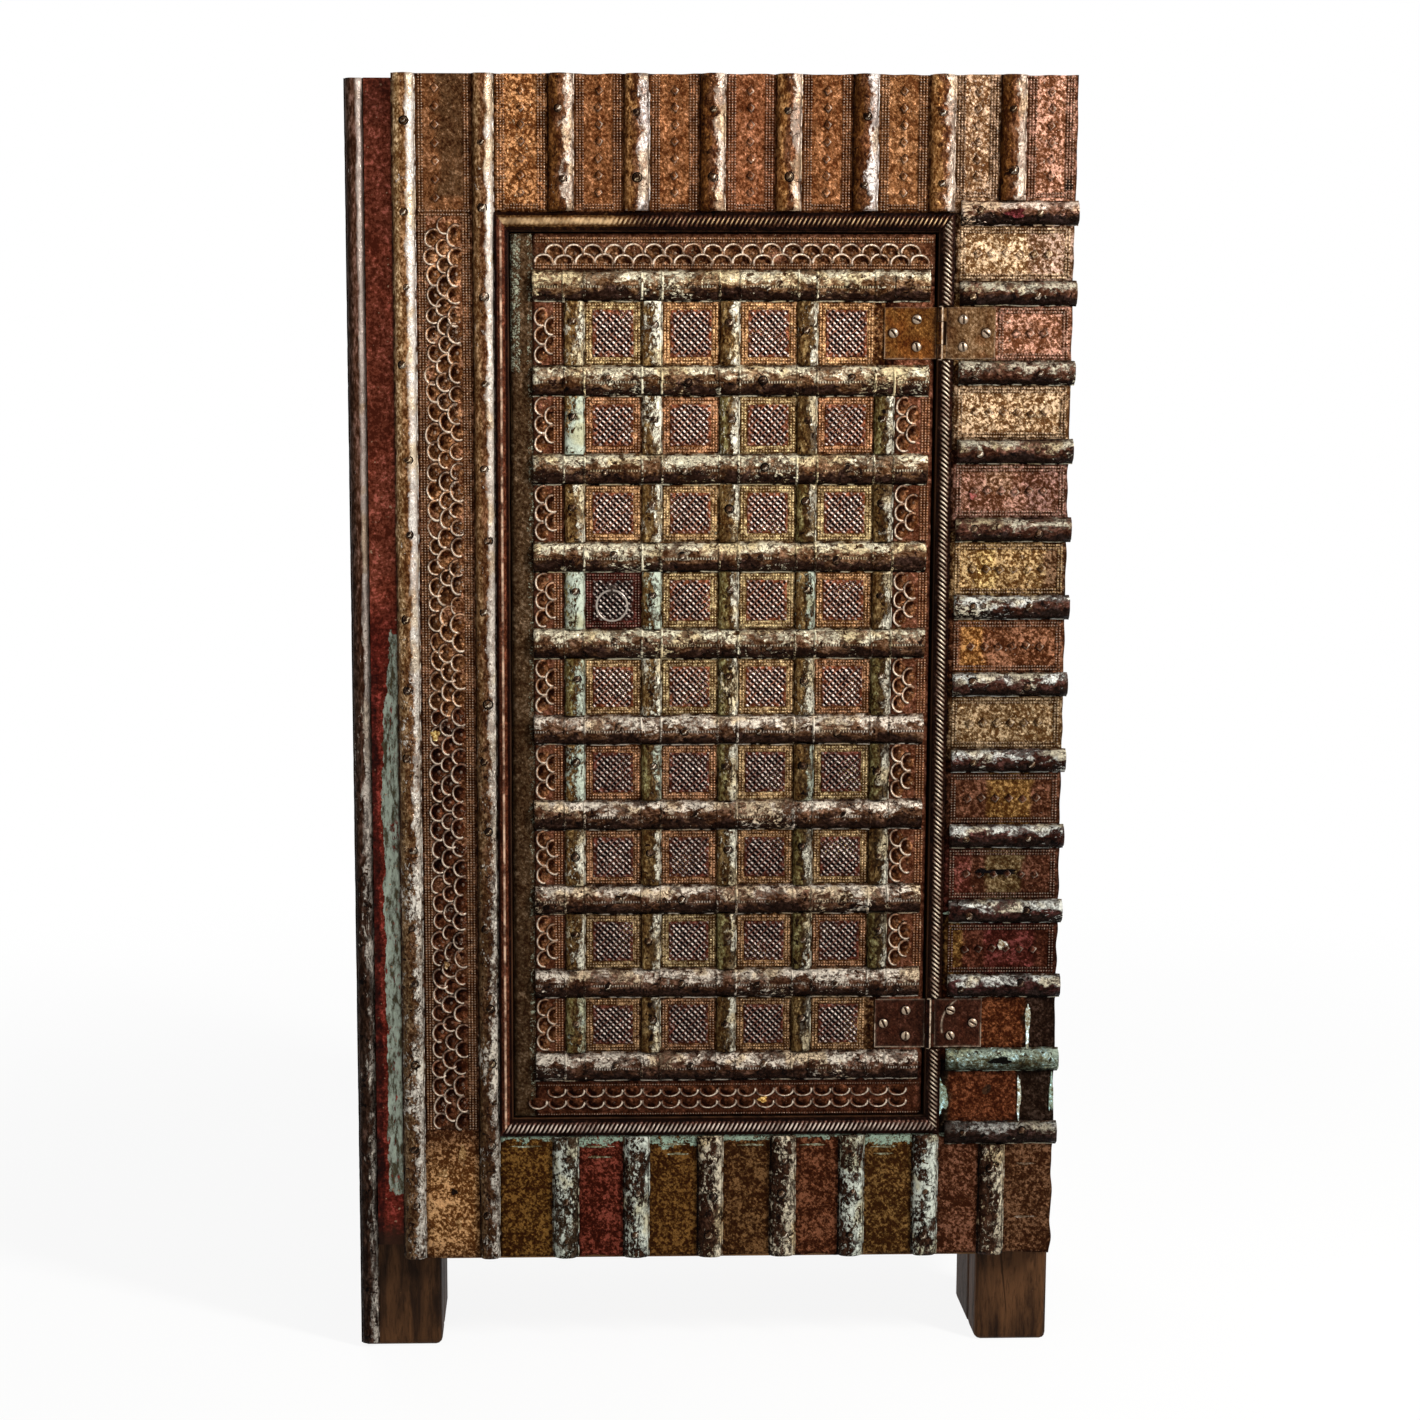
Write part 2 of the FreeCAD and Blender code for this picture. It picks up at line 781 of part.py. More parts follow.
# Door stop and catch
def make_stop_and_catch():
    stop_right = opening_left + stop_lap
    stop = box(
        stop_right - stop_width, stop_right, post_front, post_front + stop_thickness,
        opening_bottom, opening_top,
    )
    export("door_stop", eased(stop, UP))
    plate_left = stop_right + catch_gap
    plate = box(
        plate_left, plate_left + catch_plate_width, door_back, door_back + catch_plate_thickness,
        catch_height - catch_plate_length / 2, catch_height + catch_plate_length / 2,
    )
    export("catch_plate", plate)
    magnet = box(
        stop_right, stop_right + catch_width, door_back + catch_plate_thickness + catch_gap,
        post_front + stop_thickness, catch_height - catch_length / 2, catch_height + catch_length / 2,
    )
    export("magnetic_catch", magnet)


os.makedirs("parts", exist_ok=True)
make_posts()
make_side("left_side_planks", cabinet_left)
make_side("right_side_planks", carcass_right - side_thickness)
make_top()
make_back()
make_boards()
make_post_strips()
make_frame()
make_left_stile_cover()
make_top_rail_cover()
make_bottom_rail_cover()
make_right_stile_cover()
make_mouldings()
make_door_boards()
make_door_sheets()
make_door_ridges()
make_hinges()
make_ring_pull()
make_stop_and_catch()
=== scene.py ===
import json
import math

import bmesh
import bpy
import numpy as np
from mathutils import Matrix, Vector

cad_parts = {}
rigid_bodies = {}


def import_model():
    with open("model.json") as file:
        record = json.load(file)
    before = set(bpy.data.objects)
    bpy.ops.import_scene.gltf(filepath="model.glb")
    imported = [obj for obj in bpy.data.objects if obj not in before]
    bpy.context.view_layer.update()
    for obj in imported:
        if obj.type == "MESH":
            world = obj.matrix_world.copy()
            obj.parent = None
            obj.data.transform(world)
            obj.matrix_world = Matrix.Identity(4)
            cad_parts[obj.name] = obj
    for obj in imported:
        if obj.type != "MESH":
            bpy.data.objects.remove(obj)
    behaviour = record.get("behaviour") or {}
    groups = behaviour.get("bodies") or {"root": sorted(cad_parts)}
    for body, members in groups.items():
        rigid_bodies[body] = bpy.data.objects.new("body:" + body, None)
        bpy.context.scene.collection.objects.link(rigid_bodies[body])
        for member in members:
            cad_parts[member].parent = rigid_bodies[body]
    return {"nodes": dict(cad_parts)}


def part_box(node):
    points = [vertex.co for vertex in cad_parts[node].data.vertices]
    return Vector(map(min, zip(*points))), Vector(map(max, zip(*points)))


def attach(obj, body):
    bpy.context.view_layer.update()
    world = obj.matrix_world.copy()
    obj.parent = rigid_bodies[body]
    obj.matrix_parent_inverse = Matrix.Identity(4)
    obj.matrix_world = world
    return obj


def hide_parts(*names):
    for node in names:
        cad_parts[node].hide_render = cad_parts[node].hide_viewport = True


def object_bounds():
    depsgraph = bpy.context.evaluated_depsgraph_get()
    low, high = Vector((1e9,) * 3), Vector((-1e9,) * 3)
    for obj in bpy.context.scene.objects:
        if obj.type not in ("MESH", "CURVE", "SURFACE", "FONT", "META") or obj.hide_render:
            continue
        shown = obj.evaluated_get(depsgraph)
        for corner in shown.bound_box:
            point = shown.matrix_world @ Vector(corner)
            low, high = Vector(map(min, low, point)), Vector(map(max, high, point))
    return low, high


# Metal patchwork cabinet: the embossed sheets, worn ridges, mouldings, hinges and wood of its front.
# Metres, in the part's own frame: X to the right, Y to the back, Z up.

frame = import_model()
cad_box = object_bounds()
MM = 0.001
INSIDE = 2e-5  # how far within the part's box every piece stays
FOOT = 0.0004  # how deep a ridge stands in its sheet
NAIL_WIDTH = 0.0132
RIDGE_CROWN = 0.011  # how far a frame ridge stands out
BAR_DOTS = 147.0  # punched along each bar
SCREW_WIDTH, SCREW_HEIGHT = 0.0124, 0.0028
HINGE_HEIGHT = 0.068
KNUCKLE, PIN = 0.004, 0.0016  # radii


# Places taken from the part
def spots_of(mesh):
    spots = np.empty(len(mesh.vertices) * 3)
    mesh.vertices.foreach_get("co", spots)
    return spots.reshape(-1, 3)


def solids(node_name):
    """The lowest and highest corners of each separate solid in a node of the part."""
    mesh = frame["nodes"][node_name].data
    corners, index = np.unique(spots_of(mesh).round(6), axis=0, return_inverse=True)
    index = index.reshape(-1)
    leader = list(range(len(corners)))

    def first(k):
        while leader[k] != k:
            leader[k] = leader[leader[k]]
            k = leader[k]
        return k

    for polygon in mesh.polygons:
        one, two, three = (first(index[k]) for k in polygon.vertices)
        leader[two] = one
        leader[first(three)] = one
    groups = {}
    for k in range(len(corners)):
        groups.setdefault(first(k), []).append(corners[k])
    return [(np.min(group, axis=0), np.max(group, axis=0)) for group in groups.values()]


def in_order(node_name, axis, way=1):
    """A node's solids, sorted along an axis."""
    return sorted(solids(node_name), key=lambda pair: way * pair[0][axis])


sheet_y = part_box("door_edge_strip")[0].y
core_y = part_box("left_stile")[0].y
post_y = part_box("front_left_post")[0].y
facade_left, facade_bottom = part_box("left_stile")[0].x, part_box("left_stile")[0].z
facade_right, facade_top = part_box("top_rail")[1].x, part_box("top_rail")[1].z
moulding_low, moulding_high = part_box("left_moulding")
moulding_left, moulding_right = moulding_low.x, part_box("right_moulding")[1].x
moulding_bottom, moulding_top = moulding_low.z, moulding_high.z
door_low, door_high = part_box("door_planks")
strip_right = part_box("door_edge_strip")[1].x

bars = in_order("door_cross_bars", 2, -1)
bar_levels = [(low[2] + high[2]) / 2 for low, high in bars]
bar_width = bars[0][1][2] - bars[0][0][2]
bar_height = sheet_y - bars[0][0][1]
uprights = solids("door_upright_ridges")
upright_width = max((high[0] - low[0]) for low, high in uprights)
upright_height = max(sheet_y - low[1] for low, high in uprights)
upright_places = sorted(
    {round((low[0] + high[0]) / 2, 4) for low, high in uprights if high[0] - low[0] > upright_width * 0.99}
)
left_ridges = in_order("left_stile_ridges", 0)
top_ridges = in_order("top_rail_ridges", 0)
right_ridges = in_order("right_stile_ridges", 2, -1)
bottom_ridges = in_order("bottom_rail_ridges", 0)
hinges = in_order("hinge_pins", 2, -1)
hinge_x = (hinges[0][0][0] + hinges[0][1][0]) / 2
hinge_y = (hinges[0][0][1] + hinges[0][1][1]) / 2
leaf_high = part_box("hinge_frame_leaves")[1]
door_leaf_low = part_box("hinge_door_leaves")[0]


# Colours as the eye reads them
def seen(red, green, blue):
    """A colour from 0 to 255, as the linear values that a shader takes."""
    return np.array([((c / 255 + 0.055) / 1.055) ** 2.4 for c in (red, green, blue)] + [1.0])


BRONZE = seen(116, 76, 44)
COPPER = seen(114, 71, 40)
PINK_COPPER = seen(126, 85, 61)
GOLD_TAN = seen(138, 108, 74)
GOLD_BROWN = seen(132, 90, 48)
GREY_GOLD = seen(118, 92, 60)
RED_BROWN = seen(82, 44, 23)
OCHRE_BROWN = seen(80, 46, 16)
DARK_BROWN = seen(52, 30, 16)
NEAR_BLACK = seen(30, 18, 12)
PLAIN_BROWN = seen(78, 44, 22)
MINT = seen(152, 176, 156)
PALE_MINT = seen(204, 214, 194)
CREAM = seen(244, 230, 200)
YELLOW_CREAM = seen(236, 214, 176)
PALE_GREY = seen(206, 196, 182)
PINK_CREAM = seen(236, 214, 194)
OLIVE_CREAM = seen(220, 212, 186)
SILVER_MINT = seen(222, 222, 212)
HINGE_BROWN = seen(50, 24, 13)


# Node helpers
class Value:
    """One output of a node; sums made with it add the nodes that work them out."""

    def __init__(self, socket):
        self.socket, self.tree = socket, socket.id_data

    def __add__(self, other):
        return calc("ADD", self, other)

    def __sub__(self, other):
        return calc("SUBTRACT", self, other)

    def __rsub__(self, other):
        return calc("SUBTRACT", other, self)

    def __mul__(self, other):
        return calc("MULTIPLY", self, other)

    def __truediv__(self, other):
        return calc("DIVIDE", self, other)

    def __abs__(self):
        return calc("ABSOLUTE", self)


class Outputs:
    """What a node gives, by name or by number."""

    def __init__(self, made):
        self.made = made

    def __getitem__(self, name):
        return Value(self.made.outputs[name])


def feed(made, inputs):
    """Links or sets a node's inputs, by name or by number."""
    for name, value in inputs.items():
        if isinstance(value, Value):
            value.tree.links.new(value.socket, made.inputs[name])
        else:
            made.inputs[name].default_value = value


def node(tree, kind, inputs=None, **settings):
    made = tree.nodes.new(kind)
    for name, value in settings.items():
        setattr(made, name, value)
    feed(made, inputs or {})
    return Outputs(made)


def tree_of(values):
    return next(value.tree for value in values if isinstance(value, Value))


def calc(operation, *values):
    return node(tree_of(values), "ShaderNodeMath", dict(enumerate(values)), operation=operation)[0]


def arrows(operation, *values):
    return node(tree_of(values), "ShaderNodeVectorMath", dict(enumerate(values)), operation=operation)[0]


def blend(share, one, two, kind="MIX"):
    inputs = {0: share, 6: one, 7: two}
    return node(tree_of(inputs.values()), "ShaderNodeMix", inputs, data_type="RGBA", blend_type=kind)[2]


def evenly(value):
    """One number as all three parts of a vector."""
    return node(value.tree, "ShaderNodeCombineXYZ", {0: value, 1: value, 2: value})[0]


def tinted(colour, tint):
    """A colour multiplied by another one, or by a number."""
    if isinstance(tint, Value):
        tint = evenly(tint)
    return blend(1.0, colour, tint, "MULTIPLY")


def ramp(value, start, end, low=0.0, high=1.0):
    inputs = {"Value": value, "From Min": start, "From Max": end, "To Min": low, "To Max": high}
    return node(value.tree, "ShaderNodeMapRange", inputs, interpolation_type="SMOOTHSTEP")["Result"]


def noise(place, scale, detail=3.0, roughness=0.55, distortion=0.0):
    inputs = {
        "Vector": place, "Scale": scale, "Detail": detail, "Roughness": roughness, "Distortion": distortion,
    }
    return node(place.tree, "ShaderNodeTexNoise", inputs)["Fac"]


def apart(place):
    """The three parts of a place: across, back and up."""
    return node(place.tree, "ShaderNodeSeparateXYZ", {0: place})


def new_tree(name, kind, takes, gives):
    """A node group with named inputs (name, kind, value) and outputs (name, kind)."""
    tree = bpy.data.node_groups.new(name, kind)
    for label, socket_type, value in takes:
        socket = tree.interface.new_socket(name=label, in_out="INPUT", socket_type=socket_type)
        if value is not None:
            socket.default_value = value
    for label, socket_type in gives:
        tree.interface.new_socket(name=label, in_out="OUTPUT", socket_type=socket_type)
    return tree, Outputs(tree.nodes.new("NodeGroupInput")), tree.nodes.new("NodeGroupOutput")


def effect_tree(name, takes, **gives):
    """A shared surface effect; it takes a place first."""
    takes = [("Place", "NodeSocketVector", None), *takes]
    return new_tree(name, "ShaderNodeTree", takes, gives.items())


def shape_tree(name, takes):
    """A tree that turns a shape into another one with its own surface."""
    shape = ("Geometry", "NodeSocketGeometry")
    takes = [(*shape, None), *takes, ("Surface", "NodeSocketMaterial", None)]
    return new_tree(name, "GeometryNodeTree", takes, [shape])


FLOAT, COLOUR, VECTOR = "NodeSocketFloat", "NodeSocketColor", "NodeSocketVector"


# Shared surface effects
def make_patina():
    """Mottles a metal tone: darker and richer in its hollows, paler where it is rubbed, redder in patches."""
    takes = [
        ("Tone", COLOUR, BRONZE), ("Scale", FLOAT, 22.0), ("Depth", FLOAT, 1.0),
        ("Redness", FLOAT, 0.3), ("Hatch", FLOAT, 0.0),
    ]
    tree, given, wanted = effect_tree("patina", takes, Color=COLOUR, Mottle=FLOAT)
    place = given["Place"]
    broad = noise(place, given["Scale"], 4.0, 0.6, 0.4)
    middling = noise(place, given["Scale"] * 3.8, 3.0, 0.6, 0.3)
    fine = noise(place, given["Scale"] * 8.0, 3.0, 0.7)
    x, y, z = apart(place)
    slope = {0: x + z, 2: (x - z) * 0.16}
    scratch = noise(node(tree, "ShaderNodeCombineXYZ", slope)[0], 300.0, 2.0, 0.6)
    hatched = (scratch - 0.5) * given["Hatch"]
    mottle = broad * 0.24 + middling * 0.3 + (fine * 0.46 + hatched)
    mottle = (mottle - 0.5) * given["Depth"] + 0.5
    dark = tinted(given["Tone"], (0.38, 0.26, 0.16, 1.0))
    pale = tinted(given["Tone"], (2.8, 3.4, 4.7, 1.0))
    deepened = blend(ramp(mottle, 0.52, 0.38), given["Tone"], dark)
    toned = blend(ramp(mottle, 0.54, 0.7), deepened, pale)
    patch = ramp(noise(place, given["Scale"] * 0.7, 2.0), 0.5, 0.68)
    red = tinted(toned, (1.1, 0.74, 0.55, 1.0))
    feed(wanted, {"Color": blend(patch * given["Redness"], toned, red), "Mottle": mottle})
    return tree


def make_flakes():
    """Remains of old paint: big islands broken up by small chips."""
    takes = [
        ("Metal", COLOUR, BRONZE), ("Paint", COLOUR, CREAM), ("Cover", FLOAT, 0.4),
        ("Scale", FLOAT, 45.0),
    ]
    tree, given, wanted = effect_tree("flaked_paint", takes, Color=COLOUR, Mask=FLOAT, Relief=FLOAT)
    place = given["Place"]
    broad = noise(place, given["Scale"], 6.0, 0.65, 0.5)
    chips = noise(place, given["Scale"] * 4.0, 4.0, 0.7, 0.3)
    field = broad * 0.45 + chips * 0.55
    mask = ramp((field - 0.5) * 3.4 + 0.5 + given["Cover"], 0.9, 1.15)
    paint = tinted(given["Paint"], ramp(chips, 0.3, 0.7, 0.72, 1.12))
    feed(wanted, {"Color": blend(mask, given["Metal"], paint), "Mask": mask, "Relief": mask + chips * 0.35})
    return tree


def make_crest_wear_and_highlight():
    """How far a raised crest is rubbed and lit bright, partly wear and partly a painted highlight: 0 in the
    hollows, 1 on the crests.
    """
    takes = [
        ("Ground", FLOAT, 0.0), ("Low", FLOAT, 0.0006), ("High", FLOAT, 0.0018),
        ("Break up", FLOAT, 0.5),
    ]
    tree, given, wanted = effect_tree("rubbed_crests", takes, Mask=FLOAT)
    place = given["Place"]
    crest = ramp(given["Ground"] - apart(place)["Y"], given["Low"], given["High"])
    worn = ramp(noise(place, 210.0, 3.0, 0.6), 0.42, 0.58)
    worn = worn * ramp(noise(place, 46.0, 2.0, 0.6), 0.4, 0.58, 0.45, 1.0)
    feed(wanted, {"Mask": crest * (1.0 - given["Break up"] * (1.0 - worn))})
    return tree


def make_grime_and_shade():
    """Dark dirt and painted shade where its amount is high, with a broken edge."""
    takes = [("Color", COLOUR, BRONZE), ("Amount", FLOAT, 0.0), ("Scale", FLOAT, 90.0)]
    tree, given, wanted = effect_tree("grime_and_shade", takes, Color=COLOUR, Mask=FLOAT)
    place = given["Place"]
    broken = ramp(noise(place, given["Scale"], 4.0, 0.6), 0.3, 0.7, 0.6, 1.35)
    mask = node(
        tree, "ShaderNodeMath", {0: given["Amount"], 1: broken}, operation="MULTIPLY", use_clamp=True
    )[0]
    dirt = tinted(given["Color"], (0.1, 0.05, 0.025, 1.0))
    feed(wanted, {"Color": blend(mask, given["Color"], dirt), "Mask": mask})
    return tree


def make_soot_and_shade():
    """Deepens every tone toward the floor: partly years of dirt, partly painted shade where the light falls
    off below.
    """
    takes = [("Color", COLOUR, BRONZE), ("Lowest", FLOAT, 0.5)]
    tree, given, wanted = effect_tree("soot_and_shade", takes, Color=COLOUR)
    share = ramp(apart(given["Place"])["Z"], 0.1, 1.65)
    level = given["Lowest"] + share * (1.0 - given["Lowest"])
    feed(wanted, {"Color": tinted(given["Color"], level)})
    return tree


def make_grain():
    """Old timber: long grain, darker pores and a few open cracks, along the stretched axis."""
    takes = [
        ("Stretch", VECTOR, (1.0, 1.0, 0.06)), ("Light", COLOUR, PLAIN_BROWN),
        ("Dark", COLOUR, DARK_BROWN), ("Scale", FLOAT, 60.0),
    ]
    tree, given, wanted = effect_tree("old_grain", takes, Color=COLOUR, Relief=FLOAT)
    place = given["Place"]
    run = arrows("MULTIPLY", place, given["Stretch"])
    grain = noise(run, given["Scale"], 6.0, 0.65, 0.6)
    pores = noise(run, given["Scale"] * 6.0, 3.0, 0.7)
    blotch = noise(place, 7.0, 3.0, 0.5)
    share = ramp(grain * 0.7 + blotch * 0.3, 0.36, 0.62)
    timber = blend(share, given["Dark"], given["Light"])
    pore = ramp(pores, 0.36, 0.5)
    split = abs(noise(run, given["Scale"] * 0.3, 2.0, 0.4, 0.3) - 0.5)
    whole = ramp(noise(place, 4.0, 2.0, 0.5), 0.56, 0.5)
    crack = calc("MAXIMUM", ramp(split, 0.002, 0.012, 0.4, 1.0), whole)
    dark = (pore * 0.35 + 0.65) * crack
    feed(wanted, {"Color": tinted(timber, dark)})
    relief = grain * 0.5 + dark * 0.5
    feed(wanted, {"Relief": relief})
    return tree


patina = make_patina()
flaked_paint = make_flakes()
rubbed_crests = make_crest_wear_and_highlight()
grime_and_shade = make_grime_and_shade()
soot_and_shade = make_soot_and_shade()
old_grain = make_grain()


def use(group, place, **inputs):
    """Places a shared effect in a material; underscores in names stand for spaces."""
    made = place.tree.nodes.new("ShaderNodeGroup")
    made.node_tree = group
    feed(made, {"Place": place, **{name.replace("_", " "): value for name, value in inputs.items()}})
    return Outputs(made)


WIDTHS = {"tone": 4, "paint": 4, "far": 4, "size": 3, "turn": 3, "grain": 3}


def new_material(name, metallic, roughness, gloss=0.2):
    """A material with its shader, its place, and laid, which reads a value laid on the piece."""
    material = bpy.data.materials.new(name)
    material.use_nodes = True
    tree = material.node_tree
    shader = tree.nodes["Principled BSDF"]
    feed(shader, {"Metallic": metallic, "Roughness": roughness, "Specular IOR Level": gloss})
    place = node(tree, "ShaderNodeTexCoord")["Object"]

    def laid(value_name):
        made = node(tree, "ShaderNodeAttribute", attribute_name=value_name)
        return made[{4: "Color", 3: "Vector", 1: "Fac"}[WIDTHS.get(value_name, 1)]]

    return material, shader, place, laid


def bumped(shader, relief, depth, distance=0.001):
    """Raises and sinks the surface by a relief."""
    made = node(relief.tree, "ShaderNodeBump", {"Height": relief, "Strength": depth, "Distance": distance})
    feed(shader, {"Normal": made["Normal"]})


# Materials
def make_embossed_sheet():
    """Thin worked sheet metal: mottled; darkened along its edges and in its hollows by dirt and by painted
    shade; its raised marks rubbed bright and lit with a painted highlight.
    """
    material, shader, place, laid = new_material("embossed_sheet", 0.35, 0.36, 0.03)
    depth = laid("contrast") + 1.8
    base = use(patina, place, Tone=laid("tone"), Scale=34.0, Redness=0.1, Hatch=0.12, Depth=depth)
    chipped = use(
        flaked_paint, place, Metal=base["Color"], Paint=laid("paint"), Cover=laid("flake"), Scale=125.0,
    )
    rub_and_highlight = use(rubbed_crests, place, Ground=sheet_y, Low=0.0009, High=0.0019, Break_up=0.7)
    # Painted highlight on the raised marks, partly real wear: the crests turn pale where the glint value
    # allows.
    bright = blend(0.88, chipped["Color"], seen(250, 230, 206))
    rubbed = blend(rub_and_highlight["Mask"] * laid("glint"), chipped["Color"], bright)
    # Darkened by dirt and by painted shade along the panel edges, in the grooves and in the hollows of the
    # marks.
    darkened = use(grime_and_shade, place, Color=rubbed, Amount=laid("dirt") + laid("hollow"), Scale=140.0)
    # Darker toward the floor: partly dirt, partly painted shade.
    settled = use(soot_and_shade, place, Color=darkened["Color"], Lowest=0.66)
    feed(shader, {
        "Base Color": settled["Color"],
        "Roughness": ramp(base["Mottle"], 0.35, 0.65, 0.5, 0.3) + darkened["Mask"] * 0.3,
        "Metallic": 0.4 - chipped["Mask"] * 0.35,
    })
    pits = noise(place, 320.0, 3.0, 0.7)
    waves = noise(place, 90.0, 3.0, 0.6)
    bumped(shader, pits * 0.4 + waves + chipped["Relief"] * 0.15, 1.0, 0.004)
    return material


def make_lattice_copper():
    """Crossed ribs punched in copper: a painted highlight in broken dashes along one set of ribs, and painted
    shade nearly black in the hollows.
    """
    material, shader, place, laid = new_material("lattice_copper", 0.3, 0.38, 0.03)
    bend = (noise(place, 150.0, 3.0, 0.6) - 0.5) * 0.7
    falling, rising = (
        1.0 - abs(calc("FRACT", laid(name) + bend) * 2.0 - 1.0) for name in ("falling", "rising")
    )
    strong = ramp(noise(place, 110.0, 3.0, 0.7), 0.4, 0.58, 0.3, 1.0) * laid("fade")
    body = calc("MAXIMUM", ramp(falling, 0.74, 0.96), ramp(rising, 0.52, 0.8))
    dash = ramp(rising, 0.54, 0.78) * ramp(falling, 0.74, 0.4, 0.03, 1.0)
    cross = ramp(falling, 0.86, 0.99) * 0.14
    bright = calc("MAXIMUM", dash, cross) * strong
    base = use(patina, place, Tone=laid("tone"), Scale=40.0, Depth=2.2, Redness=0.3)
    # Painted shade, nearly black, in the diamond hollows.
    deep_shade = tinted(base["Color"], (0.02, 0.006, 0.004, 1.0))
    depth = 1.0 - (1.0 - body) * laid("fade")
    ribbed = blend(depth, deep_shade, base["Color"])
    # The paint colour here is the painted highlight of the dashes.
    rubbed = blend(bright, ribbed, laid("paint"))
    # Darker toward the floor: partly dirt, partly painted shade.
    settled = use(soot_and_shade, place, Color=rubbed, Lowest=0.66)
    feed(shader, {"Base Color": settled["Color"]})
    bumped(shader, noise(place, 320.0, 3.0, 0.7), 0.6, 0.0018)
    return material


def make_worn_ridge():
    """Half-round ridges: a painted highlight along one side, old metal in the middle, another tone beyond it
    (on the level bars, painted shade on the lower half).
    """
    material, shader, place, laid = new_material("worn_ridge", 0.35, 0.32, 0.04)
    across = laid("across")
    run = arrows("MULTIPLY", place, laid("grain"))
    up = apart(place)["Z"]
    # Calm ridges keep a smooth painted highlight high up.
    calm = laid("calm") * ramp(up, 0.5, 1.25)
    rough = 1.0 - calm * 0.75
    border = noise(run, 64.0, 5.0, 0.66, 0.5) - 0.5
    side = across * laid("lean") + border * 2.4 * rough
    # Beyond the middle: another tone; on the level bars this is painted shade on the lower half.
    tone = blend(ramp(side, -0.05, -0.4), laid("tone"), laid("far"))
    # Lower down, calm ridges turn darker and lose their highlight: painted shade toward the floor.
    lost = laid("calm") - calm
    darker = blend(lost * 0.6, tone, (0.02, 0.009, 0.004, 1.0))
    base = use(patina, run, Tone=darker, Scale=44.0, Depth=2.3, Redness=0.2, Hatch=0.1)
    aged = noise(place, 15.0, 3.0, 0.6)
    golden = tinted(laid("paint"), (0.84, 0.7, 0.48, 1.0))
    turned = calc("MAXIMUM", ramp(aged, 0.5, 0.58, 0.0, 0.7), lost * 0.3)
    paint = blend(turned, laid("paint"), golden)
    paint = blend(lost * 0.7, paint, (1.0, 0.93, 0.8, 1.0))
    broad = ramp(noise(run, 42.0, 4.0, 0.65, 0.6), 0.42, 0.54, 0.1, 1.0)
    specks = ramp(noise(place, 240.0, 3.0, 0.7, 0.4), 0.42, 0.52, 0.15, 1.0)
    # Sheen: a painted highlight along the lit side of the crown, with more paint cover there.
    streak = (broad * specks * rough + calm * 0.72) * (laid("sheen") - lost * 0.1)
    glossed = blend(ramp(side, 0.1, 0.36) * streak, base["Color"], paint)
    near = ramp(side, 0.0, 0.6) * 0.25
    patchy = (noise(place, 12.0, 2.0, 0.5) - 0.5) * 1.4
    cover = laid("flake") + near + patchy * rough + lost * 0.16
    chipped = use(flaked_paint, run, Metal=glossed, Paint=paint, Cover=cover, Scale=72.0)
    along = calc("FRACT", laid("along") * laid("dots"))
    dot = ramp(abs(along - 0.5), 0.3, 0.12, 0.0, 0.55)
    dotted = calc("MINIMUM", laid("dots"), 0.8) * ramp(border, -0.06, 0.02)
    row = ramp(abs(across + 0.08), 0.1, 0.04)
    groove = blend(dot, (0.02, 0.01, 0.006, 1.0), paint)
    punched = blend(row * dotted, chipped["Color"], groove)
    holes = ramp(noise(place, 110.0, 3.0, 0.65, 0.8), 0.42, 0.37)
    # The ridge's edges darkened as painted shade where it meets the sheet; the holes are dirt.
    edge = ramp(abs(across), 0.82, 0.92)
    amount = calc("MAXIMUM", edge * 0.9, holes * rough)
    darkened = use(grime_and_shade, place, Color=punched, Amount=amount, Scale=70.0)
    # A painted highlight along one lip, broken up by wear.
    lip = ramp(across * laid("lip"), 0.9, 0.97)
    worn = lip * ramp(noise(run, 90.0, 3.0, 0.6), 0.44, 0.56)
    lined = blend(worn * 0.8, darkened["Color"], paint)
    # Darker toward the floor: partly dirt, partly painted shade.
    settled = use(soot_and_shade, place, Color=lined, Lowest=0.6)
    feed(shader, {
        "Base Color": settled["Color"],
        "Roughness": ramp(base["Mottle"], 0.35, 0.65, 0.46, 0.24) + chipped["Mask"] * 0.1,
        "Metallic": 0.4 - chipped["Mask"] * 0.35,
    })
    pits = noise(place, 240.0, 4.0, 0.7)
    dents = noise(place, 70.0, 3.0, 0.6)
    bumped(shader, (pits * 0.4 + chipped["Relief"] * 0.3 + dents) * rough, 1.0, 0.005)
    return material


def make_rope_bronze():
    """The mouldings: painted shade in the cuts, and the rope's crowns rubbed and lit with a painted
    highlight.
    """
    material, shader, place, laid = new_material("rope_bronze", 0.3, 0.34, 0.04)
    base = use(patina, place, Tone=laid("tone"), Scale=40.0, Depth=2.0, Redness=0.3)
    crown = ramp(laid("crown"), 0.4, 0.95)
    worn = ramp(noise(place, 45.0, 4.0, 0.65), 0.36, 0.6, 0.3, 1.0)
    gone = ramp(noise(place, 28.0, 4.0, 0.7), 0.4, 0.54, 1.0, 0.0)
    worn = worn * (1.0 - gone * laid("patchy"))
    # Painted highlight on the crowns, partly rubbed by wear.
    bright = blend(crown * (worn * 0.92), base["Color"], laid("paint"))
    # Painted shade in the flute cuts.
    darkened = use(grime_and_shade, place, Color=bright, Amount=laid("dirt") + laid("cut") * 1.5, Scale=90.0)
    # Darker toward the floor: partly dirt, partly painted shade.
    settled = use(soot_and_shade, place, Color=darkened["Color"], Lowest=0.75)
    feed(shader, {"Base Color": settled["Color"]})
    bumped(shader, noise(place, 260.0, 3.0, 0.7), 0.5, 0.0014)
    return material


